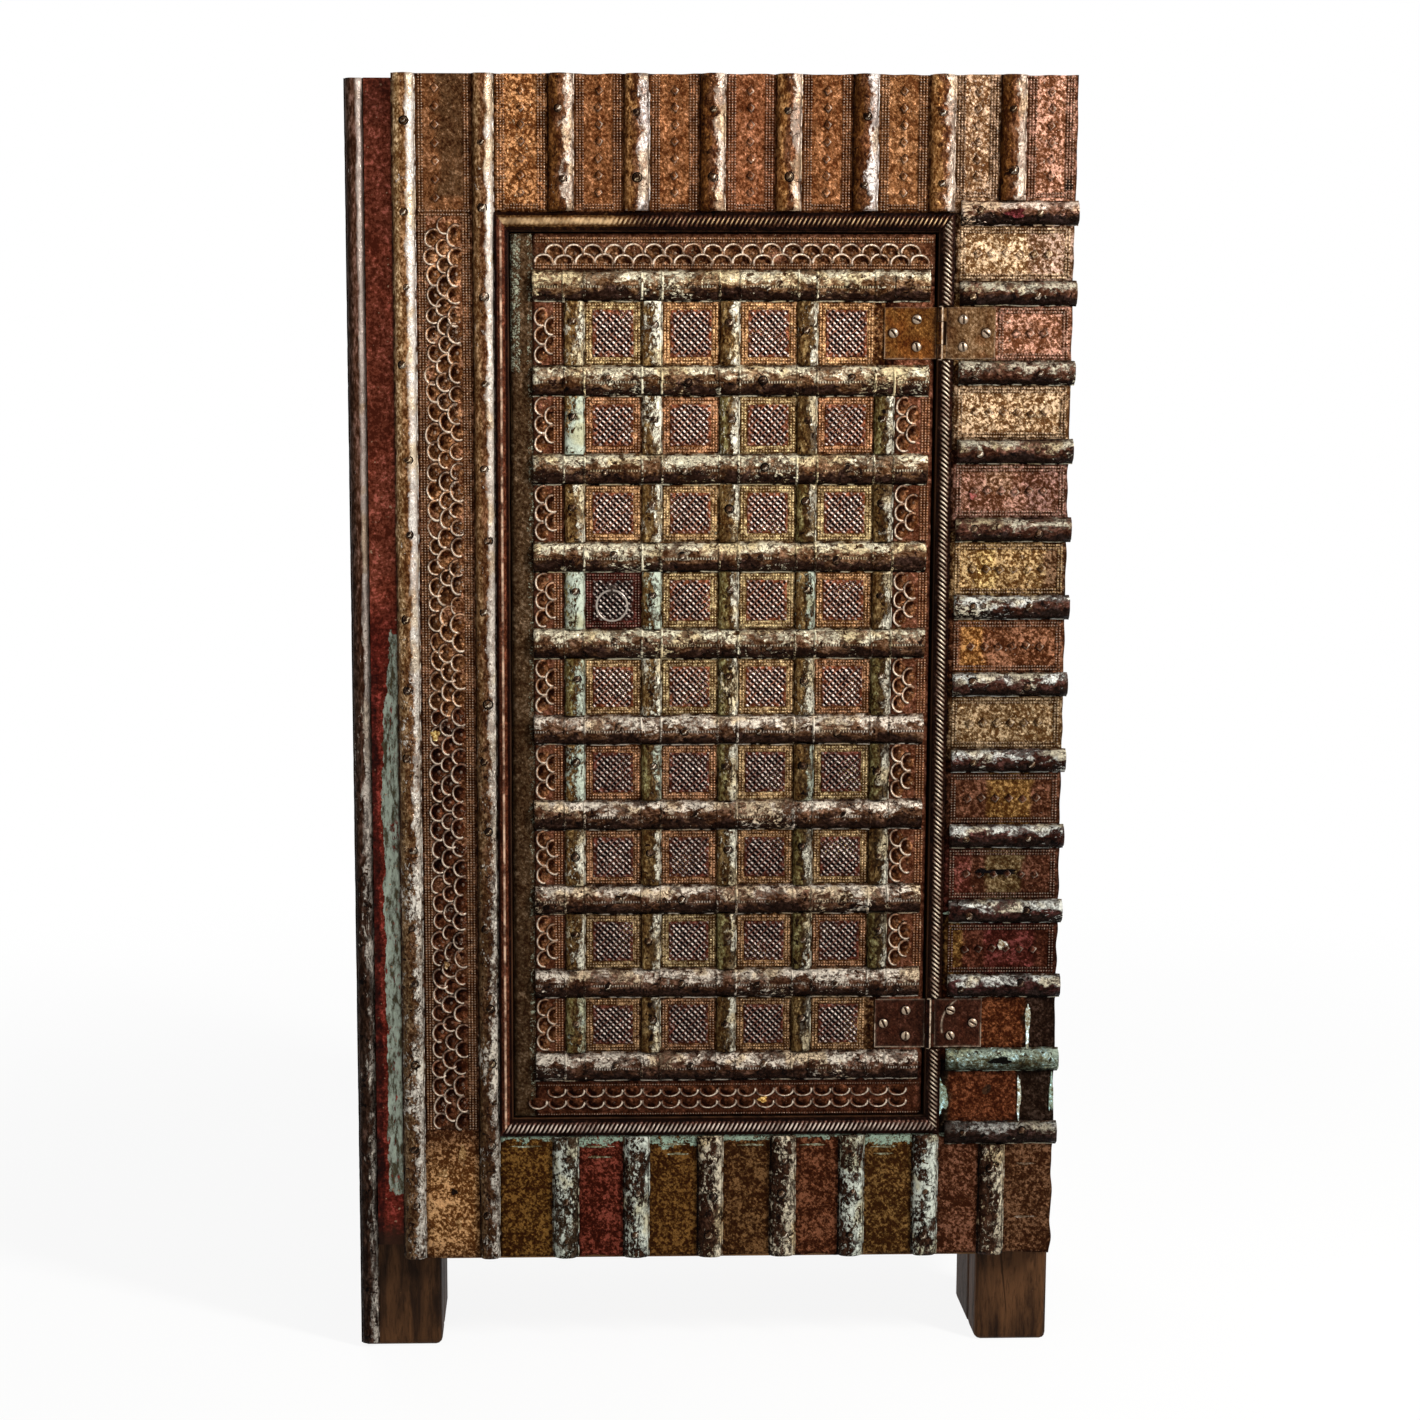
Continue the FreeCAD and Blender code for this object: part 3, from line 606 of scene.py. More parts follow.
def make_hinge_bronze():
    """Plain rolled hinge metal, stained and scratched, with a painted highlight along its edges and painted
    shade by its screws and knuckles.
    """
    material, shader, place, laid = new_material("hinge_metal", 0.5, 0.38, 0.06)
    base = use(patina, place, Tone=laid("tone"), Scale=46.0, Depth=1.6, Redness=0.5, Hatch=0.2)
    streak = noise(arrows("MULTIPLY", place, (6.0, 1.0, 1.0)), 120.0, 4.0, 0.6)
    streaked = tinted(base["Color"], ramp(streak, 0.36, 0.56, 0.74, 1.08))
    broken = ramp(noise(place, 130.0, 3.0, 0.6), 0.36, 0.58, 0.3, 1.0)
    # Shine: a painted highlight along the leaf edges and down the knuckles.
    edged = blend(laid("shine") * broken, streaked, seen(214, 192, 166))
    # Painted shade beside the screws and along the knuckles.
    darkened = use(grime_and_shade, place, Color=edged, Amount=laid("dirt"), Scale=90.0)
    feed(shader, {"Base Color": darkened["Color"], "Roughness": ramp(streak, 0.3, 0.7, 0.3, 0.5)})
    bumped(shader, streak, 0.3)
    return material


def make_plain_metal(name, tone, metallic, roughness, scale=200.0, depth=0.35):
    material, shader, place, laid = new_material(name, metallic, roughness)
    base = use(patina, place, Tone=tone, Scale=scale, Depth=depth, Redness=0.2)
    # Painted shade where a piece lays it: in the screw slots and round the foot of each head.
    darkened = use(grime_and_shade, place, Color=base["Color"], Amount=laid("hollow"), Scale=90.0)
    feed(shader, {
        "Base Color": darkened["Color"],
        "Roughness": ramp(base["Mottle"], 0.3, 0.7, roughness - 0.08, roughness + 0.12),
    })
    bumped(shader, base["Mottle"], 0.25, 0.0004)
    return material


def make_timber(
    name, light, dark, stretch, scale=60.0, roughness=0.62, depth=0.6, speck=PALE_GREY, cover=-1.0,
):
    material, shader, place, laid = new_material(name, 0.0, roughness, 0.05)
    board = laid("board")
    moved = arrows("ADD", place, evenly(board))
    grain = use(old_grain, moved, Stretch=stretch, Light=light, Dark=dark, Scale=scale)
    timber = tinted(grain["Color"], calc("FRACT", board * 0.618 + 0.5) * 0.44 + 0.78)
    blotch = ramp(noise(place, 9.0, 4.0, 0.6), 0.56, 0.75)
    specked = use(flaked_paint, place, Metal=timber, Paint=speck, Cover=cover, Scale=80.0)
    darkened = use(grime_and_shade, place, Color=specked["Color"], Amount=blotch * 0.5, Scale=50.0)
    feed(shader, {
        "Base Color": darkened["Color"],
        "Roughness": ramp(grain["Relief"], 0.2, 0.8, roughness + 0.12, roughness - 0.1),
    })
    bumped(shader, grain["Relief"], depth, 0.0012)
    return material


def make_painted_strip():
    """Red over brown on the post, with a mint band that has worn through along one side."""
    material, shader, place, laid = new_material("painted_strip", 0.05, 0.5, 0.06)
    across, ahead, up = apart(place)
    lower = ramp(up, 1.09, 1.0)
    tone = blend(lower, seen(128, 62, 42), seen(112, 40, 27))
    red = use(patina, place, Tone=tone, Scale=26.0, Depth=2.0, Redness=0.3)
    tall = arrows("MULTIPLY", place, (1.0, 1.0, 0.3))
    wander = (noise(place, 26.0, 5.0, 0.65) - 0.5) * 0.02
    inner = across + wander
    level = up + wander * 4.0
    spread = ramp(up, 1.0, 0.85, 0.008, 0.0)
    band = ramp(inner - spread, -0.4465, -0.444) * ramp(level, 1.02, 1.0) * ramp(level, 0.222, 0.235)
    cover = band * 1.15 - 0.35
    mint = blend(ramp(noise(tall, 110.0, 4.0, 0.75), 0.4, 0.56), seen(82, 74, 54), seen(188, 200, 182))
    minted = use(flaked_paint, tall, Metal=red["Color"], Paint=mint, Cover=cover, Scale=70.0)
    crumbs = ramp(level, 0.26, 0.2) * 0.3
    chips = use(
        flaked_paint, arrows("ADD", place, (0.3, 0.1, 0.7)), Metal=minted["Color"],
        Paint=seen(122, 36, 26), Cover=crumbs, Scale=80.0,
    )
    dots = ramp(noise(place, 150.0, 2.0, 0.5), 0.69, 0.73)
    dotted = blend(dots, chips["Color"], seen(188, 150, 120))
    browned = blend(ramp(level, 0.2, 0.16), dotted, seen(56, 32, 20))
    high = ramp(level, 1.66, 1.75) * 0.6
    # Painted shadow along the strip's right edge, beside the raised ridge.
    side = ramp(across, -0.427, -0.4235) * 0.8
    outer = ramp(inner, -0.449, -0.453) * ramp(up, 1.05, 0.9) * 0.75
    side = calc("MAXIMUM", side, outer)
    darkened = use(grime_and_shade, place, Color=browned, Amount=calc("MAXIMUM", high, side), Scale=40.0)
    feed(shader, {"Base Color": darkened["Color"]})
    bumped(shader, minted["Relief"] + noise(place, 200.0, 4.0, 0.7), 0.6)
    return material


embossed_sheet = make_embossed_sheet()
lattice_copper = make_lattice_copper()
worn_ridge = make_worn_ridge()
rope_bronze = make_rope_bronze()
hinge_metal = make_hinge_bronze()
screw_steel = make_plain_metal("screw_steel", seen(158, 140, 120), 0.7, 0.34)
dark_iron = make_plain_metal("dark_iron", seen(58, 48, 42), 0.8, 0.34)
ring_iron = make_plain_metal("ring_iron", seen(164, 154, 144), 0.75, 0.3)
catch_plastic = make_plain_metal("catch_plastic", seen(58, 38, 26), 0.0, 0.5, 120.0, 0.1)
post_timber = make_timber(
    "post_timber", seen(80, 53, 32), seen(30, 18, 10), (1.0, 1.0, 0.16), 46.0, speck=seen(122, 94, 64),
    cover=-0.1,
)
side_timber = make_timber("side_timber", seen(104, 70, 44), seen(54, 34, 20), (1.0, 1.0, 0.045), 46.0)
top_timber = make_timber("top_timber", seen(112, 78, 50), seen(60, 38, 23), (0.045, 1.0, 1.0), 46.0)
inner_timber = make_timber(
    "inner_timber", seen(142, 104, 68), seen(92, 62, 38), (1.0, 1.0, 0.05), 50.0, 0.68, 0.35,
)
shelf_timber = make_timber(
    "shelf_timber", seen(146, 108, 72), seen(96, 66, 42), (0.05, 1.0, 1.0), 50.0, 0.66, 0.35,
)
core_timber = make_timber("core_timber", seen(70, 44, 27), seen(34, 21, 13), (1.0, 1.0, 0.06), 55.0)
painted_strip = make_painted_strip()


# Meshes with surface values
KINDS = {4: ("FLOAT_COLOR", "color"), 3: ("FLOAT_VECTOR", "vector"), 1: ("FLOAT", "value")}


def placed(name, data):
    """A new object in the scene."""
    thing = bpy.data.objects.new(name, data)
    bpy.context.scene.collection.objects.link(thing)
    return thing


class Heap:
    """Collects points, faces, edges and surface values, and makes one mesh; a value not given is 0."""

    def __init__(self, kind=""):
        self.kind = kind
        self.points, self.faces, self.edges, self.values, self.count = [], [], [], [], 0

    def lay(self, points, faces=(), edges=(), **values):
        points = np.asarray(points, float).reshape(-1, 3)
        self.values.append(values)
        self.points.append(points)
        self.faces += [[corner + self.count for corner in face] for face in faces]
        self.edges += [[corner + self.count for corner in edge] for edge in edges]
        self.count += len(points)

    def build(self, name):
        mesh = bpy.data.meshes.new(name)
        mesh.from_pydata(np.concatenate(self.points).tolist(), self.edges, self.faces)
        for label in sorted({label for values in self.values for label in values}):
            width = WIDTHS.get(label, 1)
            parts = []
            for points, values in zip(self.points, self.values):
                value = np.asarray(values.get(label, [0.0] * width), float).reshape(-1, width)
                parts.append(np.broadcast_to(value, (len(points), width)))
            kind, field = KINDS[width]
            made = mesh.attributes.new(label, kind, "POINT")
            made.data.foreach_set(field, np.concatenate(parts).ravel().astype(np.float32))
        mesh.update()
        return placed(name, mesh)


def finish_piece(piece, name, body, slot, material=None, smooth=True):
    """Turns a heap, or a piece with modifiers, into a plain mesh on its body, inside the part's box."""
    if isinstance(piece, Heap):
        piece = piece.build("raw")
    graph = bpy.context.evaluated_depsgraph_get()
    mesh = bpy.data.meshes.new_from_object(
        piece.evaluated_get(graph), preserve_all_data_layers=True, depsgraph=graph
    )
    bpy.data.objects.remove(piece)
    mesh.name = name
    spots = np.clip(spots_of(mesh), np.array(cad_box[0]) + INSIDE, np.array(cad_box[1]) - INSIDE)
    mesh.vertices.foreach_set("co", spots.ravel())
    mesh.polygons.foreach_set("use_smooth", [smooth] * len(mesh.polygons))
    if material is not None:
        mesh.materials.clear()
        mesh.materials.append(material)
    mesh.update()
    made = placed(name, mesh)
    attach(made, body)
    return made


def ripple(x, z, size, seed):
    """A smooth random height from -1 to 1 with bumps of about the given size."""
    draw = np.random.default_rng(seed)
    total = np.zeros_like(np.asarray(x, float))
    for turn, phase, stretch in zip(
        draw.uniform(0, math.pi, 7), draw.uniform(0, 7, 7), draw.uniform(0.6, 1.7, 7),
    ):
        pull = 2 * math.pi / (size * 2) * stretch
        total = total + np.sin((x * math.cos(turn) + z * math.sin(turn)) * pull + phase)
    return total / 3.2


def plate(heap, left, right, bottom, top, step, lift, back=None, ragged=0.0, seed=0, **values):
    """A closed thin plate that faces the front: lift gives its height at each point."""
    across = max(2, round((right - left) / step) + 1)
    up = max(2, round((top - bottom) / step) + 1)
    x, z = np.meshgrid(np.linspace(left, right, across), np.linspace(bottom, top, up))
    high = lift(x, z) if callable(lift) else np.full_like(x, lift)
    if ragged:
        wander = ripple(x, z, 0.03, seed) * ragged
        x = x + np.where((x == left) | (x == right), wander, 0)
        z = z + np.where((z == bottom) | (z == top), np.roll(wander, 3, axis=1), 0)
    front = np.stack([x, sheet_y - high, z], axis=-1).reshape(-1, 3)
    faces = []
    for j in range(up - 1):
        for i in range(across - 1):
            k = j * across + i
            faces.append((k, k + 1, k + across + 1, k + across))
    rim = [*range(across), *range(2 * across - 1, up * across, across)]
    rim += [*range(up * across - 2, (up - 1) * across - 1, -1), *range((up - 2) * across, 0, -across)]
    behind = front[rim].copy()
    behind[:, 1] = core_y if back is None else back
    base = len(front)
    count = len(rim)
    for k in range(count):
        after = (k + 1) % count
        faces.append((rim[after], rim[k], base + k, base + after))
    faces.append([base + k for k in range(count - 1, -1, -1)])
    points = np.concatenate([front, behind])
    for name, value in values.items():
        if callable(value):
            values[name] = value(points[:, 0], points[:, 2])
    heap.lay(points, faces, **values)


def inside_by(x, z, left, right, bottom, top):
    """How far places lie inside the nearest edge of a rectangle."""
    return np.minimum(np.minimum(x - left, right - x), np.minimum(z - bottom, top - z))


def dirt_and_shade_near(left, right, bottom, top, reach=0.005, floor=0.0, peak=0.85):
    """Dirt and painted shade along the inside of a panel's four edges, next to the raised parts round it."""

    def amount(x, z):
        depth = inside_by(x, z, left, right, bottom, top)
        return floor + (peak - floor) * np.exp(-np.clip(depth, 0, None) / reach)

    return amount


# Geometry node trees for what repeats
def add_tree_modifier(piece, tree, **inputs):
    modifier = piece.modifiers.new(tree.name, "NODES")
    modifier.node_group = tree
    for socket in tree.interface.items_tree:
        label = socket.name.replace(" ", "_")
        if socket.in_out == "INPUT" and label in inputs:
            modifier[socket.identifier] = inputs[label]


def named(tree, name, kind="FLOAT_VECTOR"):
    made = node(tree, "GeometryNodeInputNamedAttribute", {"Name": name}, data_type=kind)
    return made["Attribute"]


def stored(tree, geometry, name, value):
    """Lays a value on every point of a shape."""
    inputs = {"Geometry": geometry, "Name": name, "Value": value}
    return node(tree, "GeometryNodeStoreNamedAttribute", inputs, data_type="FLOAT", domain="POINT")[0]


def wavered(tree, geometry, given):
    """Pushes every point about by a smooth noise, so that no two repeats are alike."""
    place = arrows("ADD", node(tree, "GeometryNodeInputPosition")[0], given["Seed"])
    inputs = {"Vector": place, "Scale": given["Waver scale"], "Detail": 2.5, "Roughness": 0.55}
    cloud = node(tree, "ShaderNodeTexNoise", inputs)["Color"]
    centred = arrows("SUBTRACT", cloud, (0.5, 0.5, 0.5))
    inputs = {"Vector": place, "Scale": given["Waver scale"] * 3.6, "Detail": 2.0}
    lumps = arrows("SUBTRACT", node(tree, "ShaderNodeTexNoise", inputs)["Color"], (0.5, 0.5, 0.5))
    both = arrows("ADD", centred, arrows("MULTIPLY", lumps, (0.5, 0.5, 0.5)))
    push = arrows("MULTIPLY", both, given["Waver"])
    return node(tree, "GeometryNodeSetPosition", {"Geometry": geometry, "Offset": push})[0]


def surfaced(tree, geometry, given, wanted):
    """The end of each tree: the shape gets its surface."""
    inputs = {"Geometry": geometry, "Material": given["Surface"]}
    feed(wanted, {"Geometry": node(tree, "GeometryNodeSetMaterial", inputs)[0]})
    return tree


def make_stamp_tree():
    """Sets one stamp on every point, with its own size and turn, and makes them uneven."""
    takes = [
        ("Stamp", "NodeSocketObject", None), ("Waver", VECTOR, (0.0, 0.0, 0.0)), ("Waver scale", FLOAT, 60.0),
        ("Seed", VECTOR, (3.0, 5.0, 7.0)),
    ]
    tree, given, wanted = shape_tree("stamped", takes)
    stamp = node(tree, "GeometryNodeObjectInfo", {"Object": given["Stamp"]})["Geometry"]
    turn = node(tree, "FunctionNodeEulerToRotation", {0: named(tree, "turn")})[0]
    inputs = {"Points": given["Geometry"], "Instance": stamp, "Rotation": turn, "Scale": named(tree, "size")}
    spread = node(tree, "GeometryNodeInstanceOnPoints", inputs)[0]
    real = node(tree, "GeometryNodeRealizeInstances", {0: spread})[0]
    return surfaced(tree, wavered(tree, real, given), given, wanted)


def make_bead_tree():
    """Runs of small punched beads along lines, each a little different."""
    takes = [
        ("Pitch", FLOAT, 0.0045), ("Bead radius", FLOAT, 0.0018), ("Bead rise", FLOAT, 0.0013),
        ("Waver", VECTOR, (0.0006, 0.0004, 0.0006)), ("Waver scale", FLOAT, 400.0),
        ("Seed", VECTOR, (1.0, 2.0, 3.0)),
    ]
    tree, given, wanted = shape_tree("beaded_lines", takes)
    line = node(tree, "GeometryNodeMeshToCurve", {0: given["Geometry"]})[0]
    inputs = {"Curve": line, "Length": given["Pitch"]}
    spots = node(tree, "GeometryNodeCurveToPoints", inputs, mode="LENGTH")["Points"]
    cone = {
        "Vertices": 4, "Radius Top": given["Bead radius"] * 0.5,
        "Radius Bottom": given["Bead radius"], "Depth": given["Bead rise"] * 1.4,
    }
    bead = node(tree, "GeometryNodeMeshCone", cone, fill_type="NGON")["Mesh"]
    inputs = {"Points": spots, "Instance": bead, "Rotation": (math.pi / 2, 0.0, 0.0)}
    made = node(tree, "GeometryNodeInstanceOnPoints", inputs)
    real = node(tree, "GeometryNodeRealizeInstances", {0: made[0]})[0]
    # A painted highlight on every bead.
    real = stored(tree, real, "glint", 0.42)
    return surfaced(tree, wavered(tree, real, given), given, wanted)


def make_rope_tree():
    """Raises a flat mitred strip into a bead between two fillets, cut with slanting flutes."""
    takes = [
        ("Crown", FLOAT, 0.01), ("Fillet", FLOAT, 0.0045),
        ("Fillet share", FLOAT, 0.17), ("Flute pitch", FLOAT, 0.0064), ("Flute depth", FLOAT, 0.002),
        ("Slant", FLOAT, 1.0), ("Crown sharpness", FLOAT, 1.0),
    ]
    tree, given, wanted = shape_tree("rope_moulding", takes)
    across = named(tree, "across", "FLOAT")
    along = named(tree, "along", "FLOAT")
    off = abs(across * 2.0 - 1.0)
    reach = 1.0 - given["Fillet share"] * 2.0
    inside = calc("MINIMUM", off / reach, 1.0)
    arch = calc("SQRT", 1.0 - inside * inside)
    on_bead = ramp(inside, 1.0, 0.85)
    phase = (along / given["Flute pitch"] + across * given["Slant"]) * (2 * math.pi)
    cut = (1.0 - calc("COSINE", phase)) * 0.5
    cut = cut * (1.0 - named(tree, "smoothed", "FLOAT"))
    depth = cut * given["Flute depth"] * on_bead
    rim = ramp(off, 0.8, 0.9) * ramp(off, 1.01, 0.93)
    groove = ramp(abs(inside - 0.99), 0.1, 0.0) * 0.001
    swell = (given["Crown"] - given["Fillet"]) * arch
    high = (given["Fillet"] + rim * 0.0008 + swell - depth - groove) * named(tree, "raised", "FLOAT")
    push = node(tree, "ShaderNodeCombineXYZ", {1: high * -1.0})[0]
    moved = node(tree, "GeometryNodeSetPosition", {"Geometry": given["Geometry"], "Offset": push})[0]
    carved = calc("GREATER_THAN", given["Flute depth"], 0.0)
    # Painted shade laid in the flutes and the groove.
    flute_shade = calc("MAXIMUM", ramp(cut, 0.45, 0.95) * on_bead * carved, groove * 900.0)
    plain = 1.0 - cut * carved
    # A painted highlight laid on the crown and the fillet rims.
    raised = calc("POWER", arch * on_bead * plain, given["Crown sharpness"])
    raised = calc("MAXIMUM", raised, rim * 0.7)
    moved = stored(tree, stored(tree, moved, "cut", flute_shade), "crown", raised)
    return surfaced(tree, moved, given, wanted)


stamped = make_stamp_tree()
beaded_lines = make_bead_tree()
rope_moulding = make_rope_tree()


# Stamps, made once and repeated
def helper(name, points, faces, **values):
    heap = Heap()
    heap.lay(points, faces, **values)
    return with_normals_out(heap.build(name))


def with_normals_out(piece):
    work = bmesh.new()
    work.from_mesh(piece.data)
    bmesh.ops.recalc_face_normals(work, faces=work.faces)
    work.to_mesh(piece.data)
    work.free()
    return piece


def skin(rings, count, turned=False):
    """Faces over a row of rings that have count points each."""
    faces = []
    for ring in range(rings):
        for k in range(count):
            one, two = ring * count + k, ring * count + (k + 1) % count
            face = (one, two, two + count, one + count)
            faces.append((one, one + count, two + count, two) if turned else face)
    return faces


def lathe(profile, sides=14):
    """A closed turned shape: profile gives (radius, height) from the outer edge up to the middle."""
    points = []
    for radius, height in profile[:-1]:
        for k in range(sides):
            turn = 2 * math.pi * k / sides
            points.append((radius * math.cos(turn), radius * math.sin(turn), height))
    faces = skin(len(profile) - 2, sides)
    last = (len(profile) - 2) * sides
    points.append((0, 0, profile[-1][1]))
    for k in range(sides):
        faces.append((last + k, last + (k + 1) % sides, len(points) - 1))
    faces.append(list(range(sides - 1, -1, -1)))
    return points, faces


def ridge_blank(sections):
    """A ridge of length, width and height one: flat lips and an arched crown, closed all round."""
    profile = [(-0.5, 0.0), (-0.5, 0.12), (-0.455, 0.16), (-0.43, 0.24)]
    for k in range(1, 10):
        turn = math.pi * (1 - k / 10)
        profile.append((0.43 * math.cos(turn), 0.24 + 0.76 * math.sin(turn)))
    profile += [(0.43, 0.24), (0.455, 0.16), (0.5, 0.12), (0.5, 0.0)]
    count = len(profile)
    points, sides, runs = [], [], []
    for j in range(sections + 1):
        along = j / sections - 0.5
        tuck = 0.86 if j in (0, sections) else 1.0
        for place, rise in profile:
            points.append((along, place, rise * tuck))
            sides.append(place * 2)
            runs.append(j / sections)
    faces = skin(sections, count, True)
    faces.append(list(range(count)))
    faces.append([sections * count + k for k in range(count - 1, -1, -1)])
    return helper("ridge_blank", points, faces, across=sides, along=runs)


def arch_rim():
    """One scale: a thin raised rim, open to the upper right, with a painted highlight along its lower left
    and painted shade inside its upper part.
    """
    points, hollow, glint = [], [], []
    steps = 11
    section = ((-0.1, 0.12, 1.0), (-0.05, 0.8, 0.5), (0.0, 1.0, 0.0), (0.05, 0.7, 0.15), (0.12, 0.0, 0.6))
    count = len(section)
    for k in range(steps + 1):
        angle = 66 + 222 * k / steps
        turn = math.radians(angle)
        # How far round toward the lower left: the painted highlight grows there and the painted shade thins.
        worn = max(0.0, math.cos(math.radians(angle - 222)))
        for reach, rise, dark in section:
            radius = 0.46 - reach
            taper = 0.5 if k in (0, steps) else 1.0
            points.append((radius * math.cos(turn), radius * math.sin(turn), rise * taper))
            hollow.append(dark * (1.1 - 0.7 * worn))
            glint.append((0.3 + 1.7 * worn) * (rise > 0.75))
    faces = skin(steps, count)
    faces.append(list(range(count - 1, -1, -1)))
    faces.append([steps * count + j for j in range(count)])
    for profile, sides, shift in (
        ([(0.4, 0.0), (0.38, 0.16), (0.0, 0.2)], 10, 0.0), ([(0.12, 0.1), (0.09, 0.42), (0.0, 0.5)], 5, 0.06),
    ):
        turned_points, turned_faces = lathe(profile, sides)
        base = len(points)
        points += [(x + shift, y + shift, z) for x, y, z in turned_points]
        # Painted shade on the upper left of the middle disc; a painted highlight on the small boss.
        for x, y, z in turned_points:
            hollow.append(max(0.0, 0.6 + (y - x) * 1.4) if sides == 10 else 0.3)
            glint.append(0.0 if sides == 10 else 0.35)
        faces += [[corner + base for corner in face] for face in turned_faces]
    return helper("rim_stamp", points, faces, hollow=hollow, glint=glint)


def lozenge():
    """A punched diamond, with a painted highlight along its lower right and painted shade on the other side.
    """
    corners = [(0.5, 0.0), (0.0, 0.5), (-0.5, 0.0), (0.0, -0.5)]
    points, hollow, glint = [], [], []
    for reach, rise in ((1.0, 0.0), (0.74, 0.8), (0.5, 0.62), (0.3, 1.0)):
        for x, z in corners:
            points.append((x * reach, z * reach, rise))
            lit = x > 0 or z < 0
            hollow.append(0.0 if lit else 0.85 * (1.3 - rise))
            glint.append((0.75 if x > 0 else 0.35 if lit else 0.0) * (0.7 < rise < 0.9))
    faces = [(0, 3, 2, 1), (12, 13, 14, 15), *skin(3, 4)]
    return helper("lozenge_stamp", points, faces, hollow=hollow, glint=glint)


def slotted_head():
    points, faces = lathe(
        [(0.5, 0.0), (0.5, 0.2), (0.44, 0.5), (0.32, 0.76), (0.16, 0.94), (0.0, 1.0)], 28
    )
    head = helper("slotted_head", points, faces)
    bar_points = [(x, y, z) for x in (-0.6, 0.6) for y in (-0.12, 0.12) for z in (0.3, 1.4)]
    bar_faces = [(0, 1, 3, 2), (4, 6, 7, 5), (0, 4, 5, 1), (2, 3, 7, 6), (0, 2, 6, 4), (1, 5, 7, 3)]
    cutter = helper("slot_cutter", bar_points, bar_faces)
    cut = head.modifiers.new("slot", "BOOLEAN")
    cut.object = cutter
    cut.solver = "EXACT"
    graph = bpy.context.evaluated_depsgraph_get()
    mesh = bpy.data.meshes.new_from_object(head.evaluated_get(graph), depsgraph=graph)
    bpy.data.objects.remove(head)
    bpy.data.objects.remove(cutter)
    spots = [vertex.co[:] for vertex in mesh.vertices]
    # Painted shade round the foot of the head.
    hollow = [0.7 if z < 0.15 else 0.0 for x, y, z in spots]
    heap = Heap()
    heap.lay(spots, [list(face.vertices) for face in mesh.polygons], hollow=hollow)
    # A dark bar in the slot: painted shade.
    floor_points = [(x * 0.76, y * 0.96, 0.1 if z < 1 else 0.34) for x, y, z in bar_points]
    heap.lay(floor_points, bar_faces, hollow=1.0)
    return heap.build("slotted_head")


nail_profile = [
    (0.5, 0.0), (0.49, 0.14), (0.42, 0.18), (0.38, 0.1), (0.36, 0.34), (0.3, 0.68), (0.17, 0.93), (0.0, 1.0),
]
nail_points, nail_faces = lathe(nail_profile, 12)
# Nail heads: a painted shadow ring round the foot and a painted highlight on the lower right of the dome.
nail_lit_and_shaded = [-1.0 if math.hypot(x, y) > 0.37 else 1.0 if x - y > 0.05 else -0.2 for x, y, z in nail_points]
nail_stamp = helper("nail_stamp", nail_points, nail_faces, across=nail_lit_and_shaded, along=0.0)
rim_stamp = arch_rim()
lozenge_stamp = lozenge()
screw_stamp = slotted_head()
short_blank = ridge_blank(40)
bar_blank = ridge_blank(150)
long_blank = ridge_blank(320)
band_blank = ridge_blank(3)
helpers = [nail_stamp, rim_stamp, lozenge_stamp, screw_stamp, short_blank, bar_blank, long_blank, band_blank]

UPRIGHT = (math.pi / 2, math.pi / 2, 0.0)
LEVEL = (math.pi / 2, 0.0, 0.0)


def stamp_piece(heap, name, body, slot, stamp, material, waver=(0.0, 0.0, 0.0), waver_scale=60.0, seed=1):
    piece = heap.build(name + "_points")
    add_tree_modifier(
        piece, stamped, Stamp=stamp, Waver=waver, Waver_scale=waver_scale,
        Seed=(seed * 1.7, seed * 2.3, seed * 0.9), Surface=material,
    )
    return finish_piece(piece, name, body, slot)


def bead_piece(heap, name, body, slot, pitch=0.0045, radius=0.0018, rise=0.0013, seed=1):
    piece = heap.build(name + "_lines")
    add_tree_modifier(
        piece, beaded_lines, Pitch=pitch, Bead_radius=radius, Bead_rise=rise,
        Seed=(seed * 1.1, seed * 0.7, seed * 1.9), Surface=embossed_sheet,
    )
    return finish_piece(piece, name, body, slot)


def line(heap, x0, z0, x1, z1, groove=0.0013, gain=1.2, **values):
    """A line to be beaded, its beads brighter by the gain (a painted highlight), over a groove pressed along
    it and darkened with painted shade.
    """
    rubbed = {**values, "tone": values["tone"] * gain}
    heap.lay([(x0, sheet_y - 0.0007, z0), (x1, sheet_y - 0.0007, z1)], edges=[(0, 1)], **rubbed)
    side = np.array([z1 - z0, x0 - x1], float)
    side = side / np.linalg.norm(side) * groove
    points = []
    for y in (sheet_y - 0.0009, sheet_y + 0.001):
        for x, z, way in ((x0, z0, 1), (x1, z1, 1), (x1, z1, -1), (x0, z0, -1)):
            points.append((x + side[0] * way, y, z + side[1] * way))
    faces = [(0, 1, 2, 3), (7, 6, 5, 4), (0, 4, 5, 1), (1, 5, 6, 2), (2, 6, 7, 3), (3, 7, 4, 0)]
    # Painted shade in the pressed groove.
    values["dirt"] = 0.22
    grooves[heap.kind].lay(points, faces, **values)


def frame_lines(heap, left, right, bottom, top, insets, **values):
    for inset in insets:
        x0, x1, z0, z1 = left + inset, right - inset, bottom + inset, top - inset
        line(heap, x0, z0, x1, z0, **values)
        line(heap, x1, z0, x1, z1, **values)
        line(heap, x1, z1, x0, z1, **values)
        line(heap, x0, z1, x0, z0, **values)


def mark(heap, x, z, size, turn=LEVEL, lift=0.0, **values):
    heap.lay([(x, sheet_y - lift, z)], size=size, turn=turn, **values)


draw = np.random.default_rng(41)
grooves = {"door": Heap(), "cabinet": Heap()}
chips = {"door": Heap(), "cabinet": Heap()}


